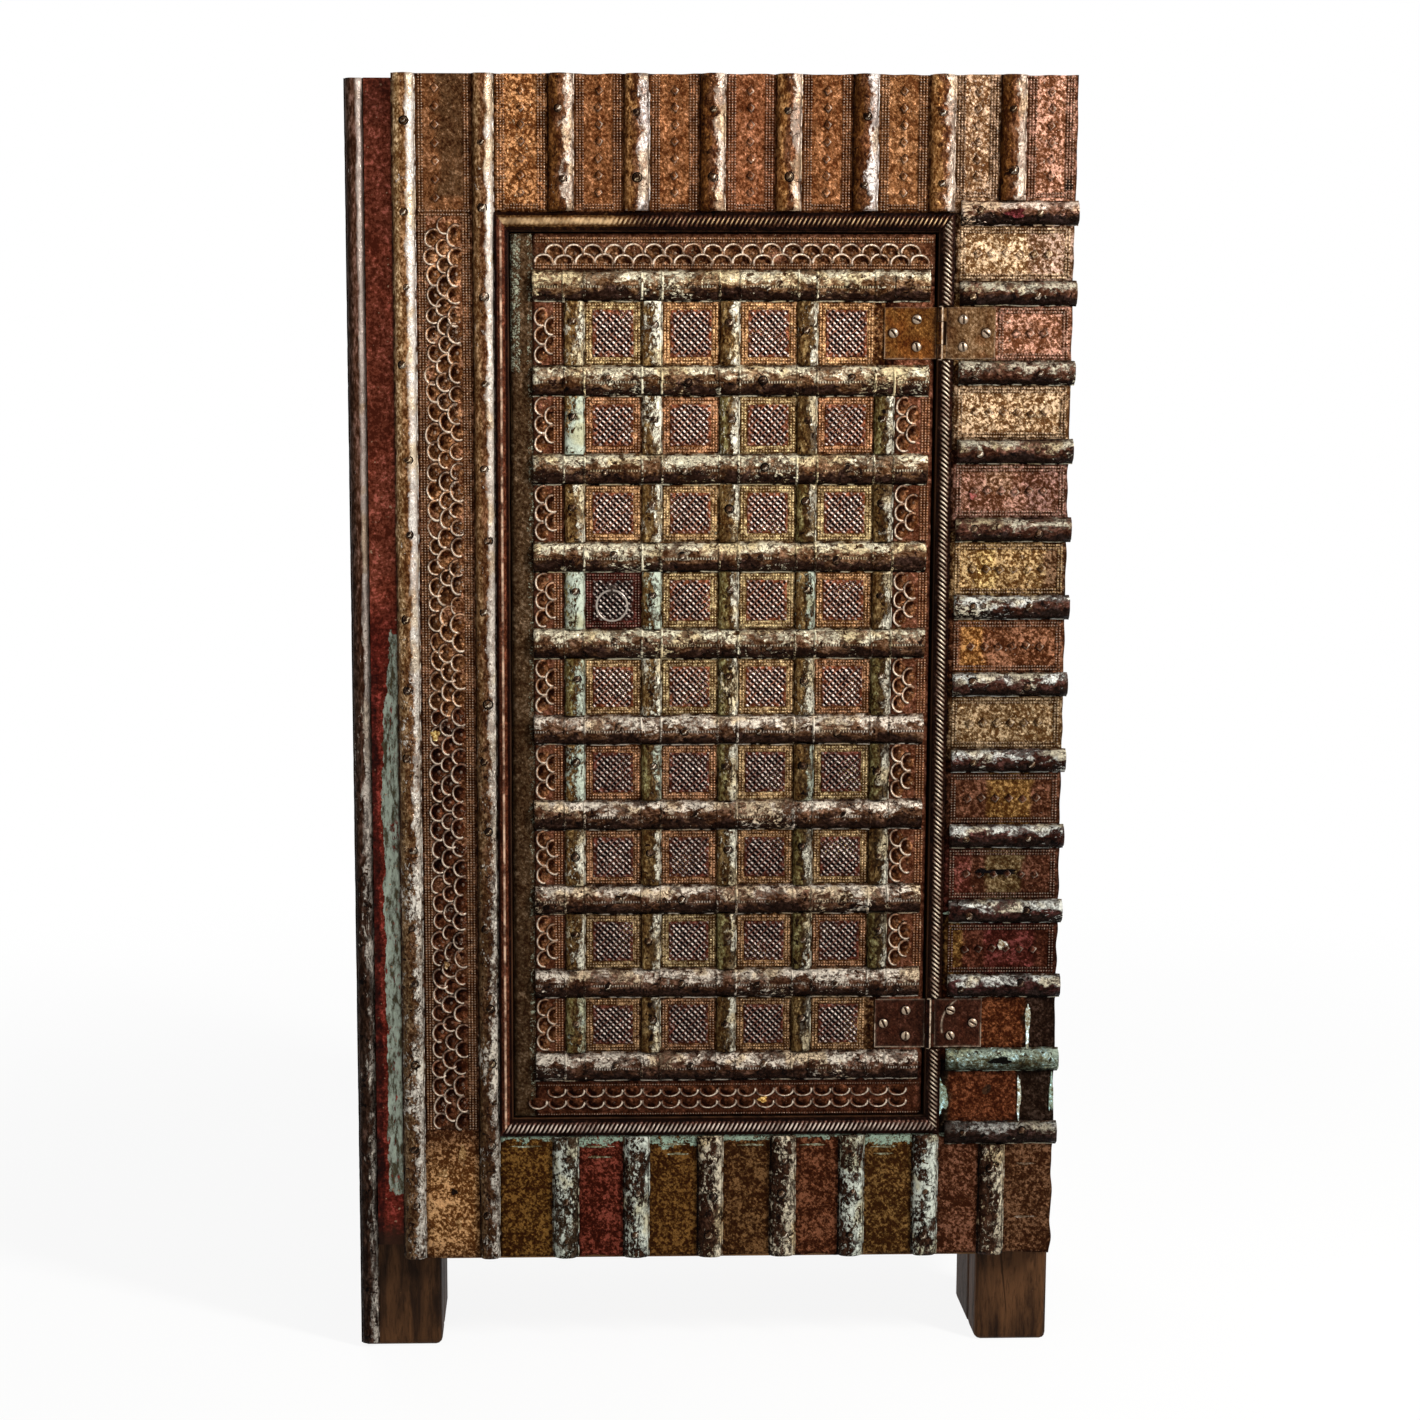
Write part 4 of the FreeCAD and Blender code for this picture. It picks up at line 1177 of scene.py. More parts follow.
def chip(body, x, z, width, height, lift, seed, **look):
    """A small patch of paint or wear with a ragged outline, standing on the sheet; a dark one can stand for a
    hole as painted shade.
    """
    turns = np.linspace(0, 2 * math.pi, 19)[:-1]
    reach = 0.5 * (1 + 0.22 * np.sin(turns * 3 + seed) + 0.16 * np.sin(turns * 5 + seed * 2.1))
    outline = [(x + width * r * math.cos(t), z + height * r * math.sin(t)) for r, t in zip(reach, turns)]
    points = [(a, sheet_y - lift, b) for a, b in outline] + [(a, sheet_y + 0.0005, b) for a, b in outline]
    faces = [list(range(18)), list(range(35, 17, -1))]
    faces += [(k, k + 18, (k + 1) % 18 + 18, (k + 1) % 18) for k in range(18)]
    chips[body].lay(points, faces, **{"flake": -0.3, "paint": CREAM, **look})


def patched(base, *patches):
    """A tone with soft-edged patches of others: colour, left, right, and bottom and top where they end."""

    def tone(x, z):
        made = base * np.ones((len(x), 4))
        for patch in patches:
            colour, left, right, bottom, top = (*patch, 0, 9)[:5]
            inside = inside_by(x, z, left, right, bottom, top)
            share = np.clip((inside + ripple(x, z, 0.015, 9) * 0.003) / 0.003 + 0.5, 0, 1)[:, None]
            made = made * (1 - share) + colour * share
        return made

    return tone


def jitter(amount):
    return draw.uniform(-amount, amount)


# Ridges
def ridge_point(heap, low, high, width, height, upright, grow=0.0, **values):
    """One ridge from a solid's corners: its length runs up or across."""
    middle = (np.asarray(low) + np.asarray(high)) / 2
    length = (high[2] - low[2]) if upright else high[0] - low[0]
    # Level ridges go near black on their lower half, painted shade under the crown; sheen and lip put a
    # painted highlight on the lit side and along one lip.
    look = dict(far=GOLD_BROWN if upright else NEAR_BLACK, lip=1.0 if upright else -1.0, sheen=0.9)
    look["grain"] = (1.0, 1.0, 0.65) if upright else (0.65, 1.0, 1.0)
    look.update(values)
    heap.lay(
        [(middle[0], sheet_y + FOOT, middle[2])], size=(length + grow, width, height),
        turn=UPRIGHT if upright else LEVEL, **look,
    )


def nail_on(heap, x, z, height, upright, half_width, off):
    """A nail head on a ridge's crown, or off to one side of it."""
    lift = height * math.sqrt(max(0.0, 1 - (off / half_width) ** 2)) - 0.0012
    at_x = x + (off if upright else 0.0)
    at_z = z + (0.0 if upright else off)
    size = NAIL_WIDTH * (1 + jitter(0.14))
    mark(heap, at_x, at_z, (size, size * (1 + jitter(0.1)), 0.005), lift=lift - abs(jitter(0.0012)), **NAIL)


MINT_RIDGE = 11
# The nails' far tone is their painted shadow ring, their paint their painted highlight.
NAIL = dict(
    tone=seen(80, 56, 36), far=NEAR_BLACK, paint=seen(240, 228, 206), flake=-0.4, lean=0.8, sheen=1.0,
    grain=(1, 1, 1),
)


def frame_ridge(heap, nails, pair, upright, grow, spots, shake, off, **look):
    """One ridge of the frame, with a nail near each of the spots along it."""
    low, high = pair
    side = 0 if upright else 2
    width, middle = high[side] - low[side], (low[side] + high[side]) / 2
    ridge_point(heap, low, high, width, sheet_y - low[1], upright, grow, **look)
    for spot in spots:
        place = spot + jitter(shake)
        x, z = (middle, place) if upright else (place, middle)
        nail_on(nails, x, z, RIDGE_CROWN, upright, width / 2, jitter(off))


def up_the(pair, *shares):
    """Heights at these shares of a solid's own height."""
    return [pair[0][2] + share * (pair[1][2] - pair[0][2]) for share in shares]


def make_frame_ridges():
    heap, nails = Heap(), Heap()
    looks = [
        dict(tone=seen(110, 74, 42), paint=seen(228, 220, 210), far=seen(140, 108, 70), flake=0.06, lean=0.8),
        dict(tone=seen(90, 57, 32), paint=seen(222, 210, 196), far=seen(120, 88, 54), flake=0.08, lean=0.75),
    ]
    for pair, look in zip(left_ridges, looks):
        frame_ridge(
            heap, nails, pair, True, -0.001, np.arange(0.2, 1.72, 0.105), 0.02, 0.004, calm=0.85, **look,
        )
    stamp_piece(
        heap, "left_stile_ridge_metal", "cabinet", "brass_ridge", long_blank, worn_ridge,
        (0.003, 0.0034, 0.002), 26.0, 3,
    )
    heap = Heap()
    for k, pair in enumerate(top_ridges):
        frame_ridge(
            heap, nails, pair, True, -0.0008, up_the(pair, 0.22, 0.72), 0.006, 0.003, tone=seen(78, 46, 24),
            far=(OCHRE_BROWN, GOLD_BROWN)[k % 2], lean=0.8, calm=0.3, flake=-0.12 + jitter(0.08),
            paint=seen(224, 214, 206) if k % 3 == 1 else seen(232, 212, 192),
        )
    stamp_piece(
        heap, "top_rail_ridge_metal", "cabinet", "bronze_ridge", short_blank, worn_ridge,
        (0.0036, 0.004, 0.002), 30.0, 5,
    )
    heap = Heap()
    for k, pair in enumerate(right_ridges):
        silver = k > 4
        look = dict(
            tone=seen(96, 66, 48) if k == 0 else seen(70 - 2 * k, 44 - 2 * k, 28 - k), far=NEAR_BLACK,
            paint=PINK_CREAM if k == 0 else SILVER_MINT if silver else OLIVE_CREAM, lean=0.85,
            flake=(0.14 if silver else -0.04 if k else 0.12) + jitter(0.08),
            sheen=0.95 if silver or k == 0 else 0.6,
        )
        if k == MINT_RIDGE:
            look = dict(
                tone=seen(124, 134, 116), paint=seen(176, 190, 170), far=seen(70, 74, 58), lean=0.8,
                flake=0.3,
            )
        if k == MINT_RIDGE + 1:
            look.update(tone=seen(46, 28, 20), flake=-0.12, sheen=0.5)
        spots = () if k == MINT_RIDGE else (0.352, 0.437)
        frame_ridge(heap, nails, pair, False, -0.001, spots, 0.008, 0.005, **look)
    stamp_piece(
        heap, "right_stile_ridge_metal", "cabinet", "worn_paint_ridge", short_blank, worn_ridge,
        (0.0024, 0.004, 0.0036), 30.0, 7,
    )
    heap = Heap()
    mint = seen(236, 242, 226)
    looks = [
        (seen(62, 46, 30), mint, 0.42, -0.2), (DARK_BROWN, mint, 0.36, 0.5), (DARK_BROWN, CREAM, 0.3, 0.5),
        (DARK_BROWN, CREAM, 0.3, 0.5), (DARK_BROWN, mint, 0.3, 0.5), (DARK_BROWN, mint, 0.34, 0.4),
        (DARK_BROWN, CREAM, 0.32, 0.4),
    ]
    for pair, (tone, paint, flake, lean) in zip(bottom_ridges, looks):
        frame_ridge(
            heap, nails, pair, True, -0.0008, up_the(pair, 0.17, 0.5, 0.83), 0.008, 0.003, tone=tone,
            far=tone, paint=paint, flake=flake, lean=lean,
        )
    stamp_piece(
        heap, "bottom_rail_ridge_metal", "cabinet", "cream_paint_ridge", short_blank, worn_ridge,
        (0.003, 0.0035, 0.002), 30.0, 9,
    )
    stamp_piece(nails, "frame_ridge_nails", "cabinet", "bronze_ridge", nail_stamp, worn_ridge)
    heap = Heap()
    low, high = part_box("post_edge_strip")
    middle = (low + high) / 2
    heap.lay(
        [(middle.x, post_y + FOOT, middle.z)], size=(high.z - low.z - 0.001, high.x - low.x, post_y - low.y),
        turn=UPRIGHT, tone=seen(72, 46, 32), far=seen(46, 30, 20), paint=seen(212, 196, 184), flake=-0.06,
        lean=0.75, sheen=0.75, grain=(1, 1, 0.3), calm=1.0,
    )
    stamp_piece(
        heap, "post_edge_metal", "cabinet", "dark_sheet_metal", long_blank, worn_ridge,
        (0.002, 0.0024, 0.002), 26.0, 11,
    )


def make_door_ridges():
    heap, bands, nails = Heap(), Heap(), Heap()
    for k, (low, high) in enumerate(bars):
        tone = seen(96 - 2 * k, 68 - 2 * k, 42 - k)
        paint = seen(246, 236, 204) if k < 5 else seen(246, 232, 212)
        # Far: the bar's nearly black lower half, painted shade.
        look = dict(tone=tone, far=seen(40, 23, 14), paint=paint, flake=0.1, lean=0.8)
        ridge_point(heap, low, high, bar_width, bar_height, False, 0.0, dots=BAR_DOTS, **look)
        level = bar_levels[k]
        for place in upright_places:
            for side, reach, grow, cover in (
                (0, 0.0128, 0.0008, 0.1), (-1, 0.0015, 0.002, 0.5), (1, 0.0015, 0.002, 0.5),
            ):
                middle = np.array(
                    [place + side * upright_width * 0.47 + jitter(0.0008), 0, level + jitter(0.0003)]
                )
                half = np.array([reach, 0, 0])
                look["flake"] = cover - 0.1 + jitter(0.15) - 0.015 * k
                ridge_point(
                    bands, middle - half, middle + half, bar_width + 0.0004, bar_height + grow, False, 0.0,
                    **look,
                )
        for left, right in zip(upright_places, upright_places[1:]):
            x = (left + right) / 2 + jitter(0.012)
            nail_on(nails, x, level, bar_height, False, bar_width / 2, jitter(0.004))
    uneven_bars = ((0.0028, 0.0044, 0.0034), 26.0, 13)
    stamp_piece(heap, "door_bar_metal", "door", "worn_paint_ridge", bar_blank, worn_ridge, *uneven_bars)
    stamp_piece(bands, "door_bar_bands", "door", "worn_paint_ridge", band_blank, worn_ridge, *uneven_bars)
    heap = Heap()
    for row, (upper, lower) in enumerate(zip(bar_levels, bar_levels[1:])):
        for column, place in enumerate(upright_places):
            if column == 4 and row in (0, 8):
                continue
            low = np.array([place, 0, lower + bar_width / 2 - 0.001])
            high = np.array([place, 0, upper - bar_width / 2 + 0.001])
            warm = draw.uniform() < 0.5
            minty = draw.uniform() < 0.3 and row > 0 and column in (0, 1, 3)
            dim = 1.0 - 0.02 * row - 0.075 * column
            ridge_point(
                heap, low, high, upright_width, upright_height, True, 0.0, tone=seen(88, 62, 30) * dim * dim,
                far=(seen(124, 94, 52) if warm else seen(128, 112, 66)) * dim,
                paint=PALE_MINT if minty else seen(252, 246, 222),
                flake=0.38 - 0.03 * row - 0.08 * column + jitter(0.14), lean=0.75, sheen=1.0 - 0.11 * column,
            )
            z = (upper + lower) / 2 + 0.008 + jitter(0.008)
            nail_on(nails, place, z, upright_height, True, upright_width / 2, jitter(0.003))
    stamp_piece(
        heap, "door_upright_metal", "door", "cream_paint_ridge", short_blank, worn_ridge,
        (0.002, 0.0024, 0.001), 36.0, 19,
    )
    stamp_piece(nails, "door_nails", "door", "bronze_ridge", nail_stamp, worn_ridge)


def uneven(seed, depth=0.0005):
    return lambda x, z: ripple(x, z, 0.045, seed) * depth


def make_left_stile_sheets(sheets, rims, lozenges, beads):
    left, right = left_ridges[0][1][0], left_ridges[1][0][0]
    worn_top, field_top = facade_bottom + 0.184, facade_top - 0.18
    look = dict(paint=YELLOW_CREAM, dirt=dirt_and_shade_near(left, right, -9, 9, 0.003))

    def worn_tone(x, z):
        below = np.clip((worn_top - z) / 0.07, 0, 1)
        share = (below * np.clip((z - facade_bottom + 0.02) / 0.05, 0, 1))[:, None]
        return seen(82, 50, 28) * (1 - share) + seen(140, 98, 56) * share

    def field_tone(x, z):
        warm = seen(104, 66, 42) * np.ones((len(x), 4))
        border = np.clip((x - left - 0.04) / 0.006, 0, 1)[:, None] * seen(40, 24, 8)
        share = np.clip((z - facade_bottom) / 1.4, 0, 1)[:, None]
        return (warm + border) * (0.5 + 0.6 * share)

    top_tone = patched(seen(104, 66, 38), (seen(78, 52, 30), left + 0.03, right - 0.01, field_top + 0.02, 9))

    for number, (z0, z1, tone, flake) in enumerate((
        (facade_bottom, worn_top, worn_tone, 0.02), (field_top, facade_top - 0.0006, top_tone, -0.1),
        (worn_top, field_top, field_tone, -0.1),
    )):
        plate(
            sheets, facade_left, moulding_left, z0, z1, 0.006, uneven(1 + number), seed=1 + number, tone=tone,
            flake=flake, contrast=(2.2, -0.2, 0.8)[number], **look,
        )
    for z0, z1, rows in ((worn_top, field_top, (4, 8, 12)), (field_top, facade_top, (5, 9))):
        for row in rows:
            for x in (left + row * MM, right - row * MM):
                line(beads, x, z0 + 0.002, x, z1 - 0.002, 0.0011, tone=BRONZE, paint=CREAM, flake=0.0)
    for x0, z in ((left + 0.004, field_top - 0.002), (left + 0.004, field_top + 0.003)):
        line(beads, x0, z, right - 0.004, z, tone=BRONZE, paint=CREAM, flake=0.05)
    pitch, gap = 0.0256, 0.0148
    for column in range(3):
        z = worn_top + 0.012 + (pitch / 2 if column == 1 else 0)
        x = left + 0.0245 + column * gap - 0.002
        while z < field_top - 0.008:
            shade = (BRONZE if z > 0.9 else RED_BROWN) * (1.15 + jitter(0.35))
            width = 0.0215 * (1 + jitter(0.1))
            mark(
                rims, x + jitter(0.002), z + jitter(0.0022),
                (width, pitch * (1 + jitter(0.16)), 0.003 + jitter(0.0012)),
                turn=(math.pi / 2, jitter(0.45), 0), tone=shade, paint=PINK_CREAM, flake=0.08 + jitter(0.2),
                contrast=0.6,
            )
            z += pitch
    for k in range(7):
        z = field_top + 0.02 + k * 0.0235
        mark(
            lozenges, left + 0.026, z, (0.0125, 0.0145, 0.0022), lift=0.0003, tone=COPPER, paint=CREAM,
            flake=0.0,
        )
    for number, (x, z, width, height, tone) in enumerate((
        (-0.372, 0.876, 0.011, 0.014, seen(214, 186, 118)),
        (-0.3595, 0.558, 0.007, 0.01, seen(196, 170, 130)), (-0.352, 0.235, 0.009, 0.008, NEAR_BLACK),
        (-0.34, 0.29, 0.01, 0.02, seen(176, 138, 90)), (-0.366, 0.262, 0.012, 0.01, seen(170, 132, 86)),
        (-0.345, 0.19, 0.008, 0.018, seen(168, 130, 84)),
    )):
        chip("cabinet", x, z, width, height, 0.0014 if z < 0.3 else 0.0036, number, tone=tone)


def panel_edges(ridges):
    """A rail's two ends and the middles of its ridges, with half the width of a ridge."""
    edges = [moulding_left] + [(low[0] + high[0]) / 2 for low, high in ridges] + [facade_right]
    return edges, (ridges[0][1][0] - ridges[0][0][0]) / 2


def make_top_rail_sheets(sheets, lozenges, beads):
    edges, half = panel_edges(top_ridges)
    tones = [
        seen(130, 84, 46), COPPER, COPPER, seen(116, 70, 42), COPPER, BRONZE, seen(130, 98, 68), PINK_COPPER,
    ]
    flakes = [0.14, -0.08, -0.06, -0.04, -0.06, 0.0, 0.16, 0.12]
    for k, (left, right) in enumerate(zip(edges, edges[1:])):
        x0 = left + (half if k else 0.001)
        x1 = right - (half if k < 7 else 0.002)
        look = dict(tone=tones[k], paint=YELLOW_CREAM if k == 0 else PINK_CREAM, flake=flakes[k])
        look["contrast"] = 1.3 if k in (0, 6, 7) else 0.1
        plate(
            sheets, left, right, moulding_top, facade_top - 0.0006, 0.005, uneven(20 + k, 0.0007),
            ragged=0.0008, seed=k, dirt=dirt_and_shade_near(x0, x1, moulding_top, 9, 0.004), **look,
        )
        bottom = moulding_top + (0.02 if k > 5 else 0.004)
        for inset in (4, 8, 12):
            for x in (x0 + inset * MM, x1 - inset * MM):
                line(beads, x, bottom, x, facade_top - 0.003, 0.0011, **look)
        for inset in (2, 6):
            line(beads, x0 + 0.014, bottom + inset * MM, x1 - 0.014, bottom + inset * MM, 0.0011, **look)
        for n in range(7):
            z = facade_top - 0.022 - n * 0.0218
            if z > bottom + 0.01:
                mark(
                    lozenges, (x0 + x1) / 2 + jitter(0.0008), z, (0.0118, 0.0145, 0.0024 + jitter(0.0003)),
                    turn=(math.pi / 2, jitter(0.2), 0), lift=0.0003, **look,
                )


def make_right_stile_sheets(sheets, lozenges, beads):
    levels = [(low[2] + high[2]) / 2 for low, high in right_ridges]
    half = (right_ridges[0][1][2] - right_ridges[0][0][2]) / 2
    tones = [
        GOLD_TAN, PINK_COPPER, GOLD_TAN, seen(110, 74, 54), seen(122, 92, 54), seen(98, 60, 36), GREY_GOLD,
        seen(76, 44, 26), seen(74, 42, 26), seen(66, 32, 18), seen(86, 44, 20), seen(84, 42, 20),
    ]
    flakes = [0.14, 0.08, 0.16, 0.02, 0.12, 0.0, 0.12, -0.03, -0.04, -0.1, -0.12, -0.12]
    patches = {
        0: ((seen(122, 92, 68), 0.42, 0.49),),
        1: ((seen(146, 112, 66), 0.31, 0.372),),
        3: ((seen(112, 80, 56), 0.37, 0.405, 1.2, 1.25), (seen(96, 64, 48), 0.42, 0.49)),
        4: ((seen(134, 104, 58), 0.36, 0.385), (seen(80, 54, 32), 0.45, 0.49)),
        5: ((seen(122, 80, 38), 0.34, 0.37),),
        7: ((seen(104, 72, 34), 0.38, 0.44),),
        8: ((seen(84, 42, 30), 0.31, 0.36), (seen(90, 70, 42), 0.38, 0.43)),
        9: ((seen(92, 62, 26), 0.31, 0.35), (seen(72, 30, 22), 0.38, 0.45)),
        10: ((seen(42, 26, 16), 0.438, 0.49),),
        11: ((seen(40, 26, 16), 0.43, 0.49), (seen(46, 34, 20), 0.29, 0.335)),
    }
    for k, (top, bottom) in enumerate(zip(levels, levels[1:])):
        z0, z1 = bottom + half, top - half
        look = dict(tone=tones[k], paint=YELLOW_CREAM if k in (0, 2, 4, 6) else PINK_CREAM, flake=flakes[k])
        look["contrast"] = 2.0 if k in (0, 2, 4) else 1.4 if k < 7 else 0.8
        plate(
            sheets, moulding_right, facade_right - 0.0012, bottom, top, 0.005, uneven(50 + k, 0.0007),
            ragged=0.0014, seed=30 + k, dirt=dirt_and_shade_near(moulding_right + 0.004, facade_right, z0, z1, 0.005),
            **{**look, "tone": patched(tones[k], *patches.get(k, ()))},
        )
        if k > 9:
            continue
        left = moulding_right + (0.06 if k == 1 else 0.007)
        frame_lines(beads, left, facade_right - 0.006, z0 + 0.002, z1 - 0.002, (0.002, 0.0062), **look)
        for n in range(7):
            x = left + 0.024 + n * 0.0188
            if x < facade_right - 0.02:
                mark(
                    lozenges, x, (z0 + z1) / 2 + jitter(0.0015), (0.0135, 0.0135, 0.0026),
                    turn=(math.pi / 2, jitter(0.25), 0), lift=0.0003, **look,
                )
    mint, pale = seen(150, 168, 148), seen(196, 200, 180)
    for number, (x, z, width, height, lift, tone) in enumerate((
        (0.4425, 0.468, 0.006, 0.066, 0.0016, pale), (0.4325, 0.366, 0.005, 0.06, 0.0016, pale),
        (0.3235, 0.366, 0.018, 0.05, 0.0016, mint), (0.4775, 0.37, 0.006, 0.05, 0.0016, mint),
        (0.35, 0.6275, 0.05, 0.008, 0.0016, mint),
        # The black patches at 0.684 and on the ridge at 0.42, and the dark red one on the top ridge, are
        # holes and slots: painted shade.
        (0.398, 0.684, 0.05, 0.007, 0.0022, (0.002, 0.001, 0.001, 1)),
        (0.374, 0.684, 0.011, 0.011, 0.0024, (0.002, 0.001, 0.001, 1)),
        (0.352, 1.198, 0.009, 0.009, 0.0022, seen(150, 84, 76)),
        (0.405, 0.582, 0.014, 0.012, 0.002, seen(196, 186, 164)),
        (0.472, 1.607, 0.01, 0.012, 0.0018, NEAR_BLACK),
        (0.404, 0.4205, 0.03, 0.009, 0.0135, (0.004, 0.003, 0.002, 1)),
        (0.4, 1.57, 0.024, 0.012, 0.014, seen(60, 20, 18)),
    )):
        chip("cabinet", x, z, width, height, lift, number, tone=tone)


def make_bottom_rail_sheets(sheets):
    edges, half = panel_edges(bottom_ridges)
    tones = [
        seen(80, 50, 16), seen(84, 34, 20), seen(78, 48, 16), seen(76, 48, 22), RED_BROWN, seen(82, 54, 22),
        seen(86, 50, 30), seen(80, 50, 28),
    ]
    depths = [0.006, 0.012, 0.014, 0.008, 0.006, 0.014, 0.004, 0.0]
    for k, (left, right) in enumerate(zip(edges, edges[1:])):
        x0, x1 = left + (half if k else 0.001), right - (half if k < 7 else 0.001)
        minty = moulding_bottom - 0.002 - depths[k]

        def top_band(x, z):
            return np.where(z > minty + ripple(x, z, 0.02, k) * 0.004, 0.62 if k != 7 else -0.3, -0.3)

        plate(
            sheets, left, right - (0.0012 if k == 7 else 0), facade_bottom + 0.0012, moulding_bottom, 0.004,
            uneven(80 + k, 0.0004), ragged=0.0012, seed=60 + k, tone=tones[k], paint=seen(166, 188, 166),
            flake=top_band, contrast=1.6,
            dirt=dirt_and_shade_near(x0, x1, facade_bottom, moulding_bottom, 0.003, 0.0, 0.6),
        )
        for number, share in enumerate((0.9, 0.82) if k in (1, 2, 5) else (0.9,) if k != 7 else (0.72, 0.3)):
            z = facade_bottom + share * (moulding_bottom - facade_bottom) + jitter(0.004)
            chip(
                "cabinet", (x0 + x1) / 2 + jitter(0.006), z, (x1 - x0) * (0.45 + jitter(0.15)), 0.0026, 0.001,
                number + k, tone=seen(132, 128, 100) if k != 7 else seen(124, 104, 84), flake=0.1,
            )


LATTICE_PITCH, LATTICE_DEPTH = 0.0086, 0.0024


def lattice_lift(left, right, bottom, top, seed):
    """Crossed raised ribs with diamond hollows between them, fading out at the panel's border."""

    def lift(x, z):
        one = (x - left + z - bottom) / LATTICE_PITCH
        two = (x - left - z + bottom) / LATTICE_PITCH
        strong = 1 + 0.3 * ripple(x, z, 0.006, seed)
        ribs = [np.clip((1 - np.abs((v % 1) - 0.5) * 2) * 1.35 - 0.2, 0, 1) for v in (one, two)]
        high = np.maximum(ribs[0], ribs[1] * 0.85) * strong
        inside = inside_by(x, z, left, right, bottom, top)
        return LATTICE_DEPTH * high * np.clip(inside / 0.0016, 0, 1)

    return lift


COPPER_SHEET = ("copper_sheet", embossed_sheet)


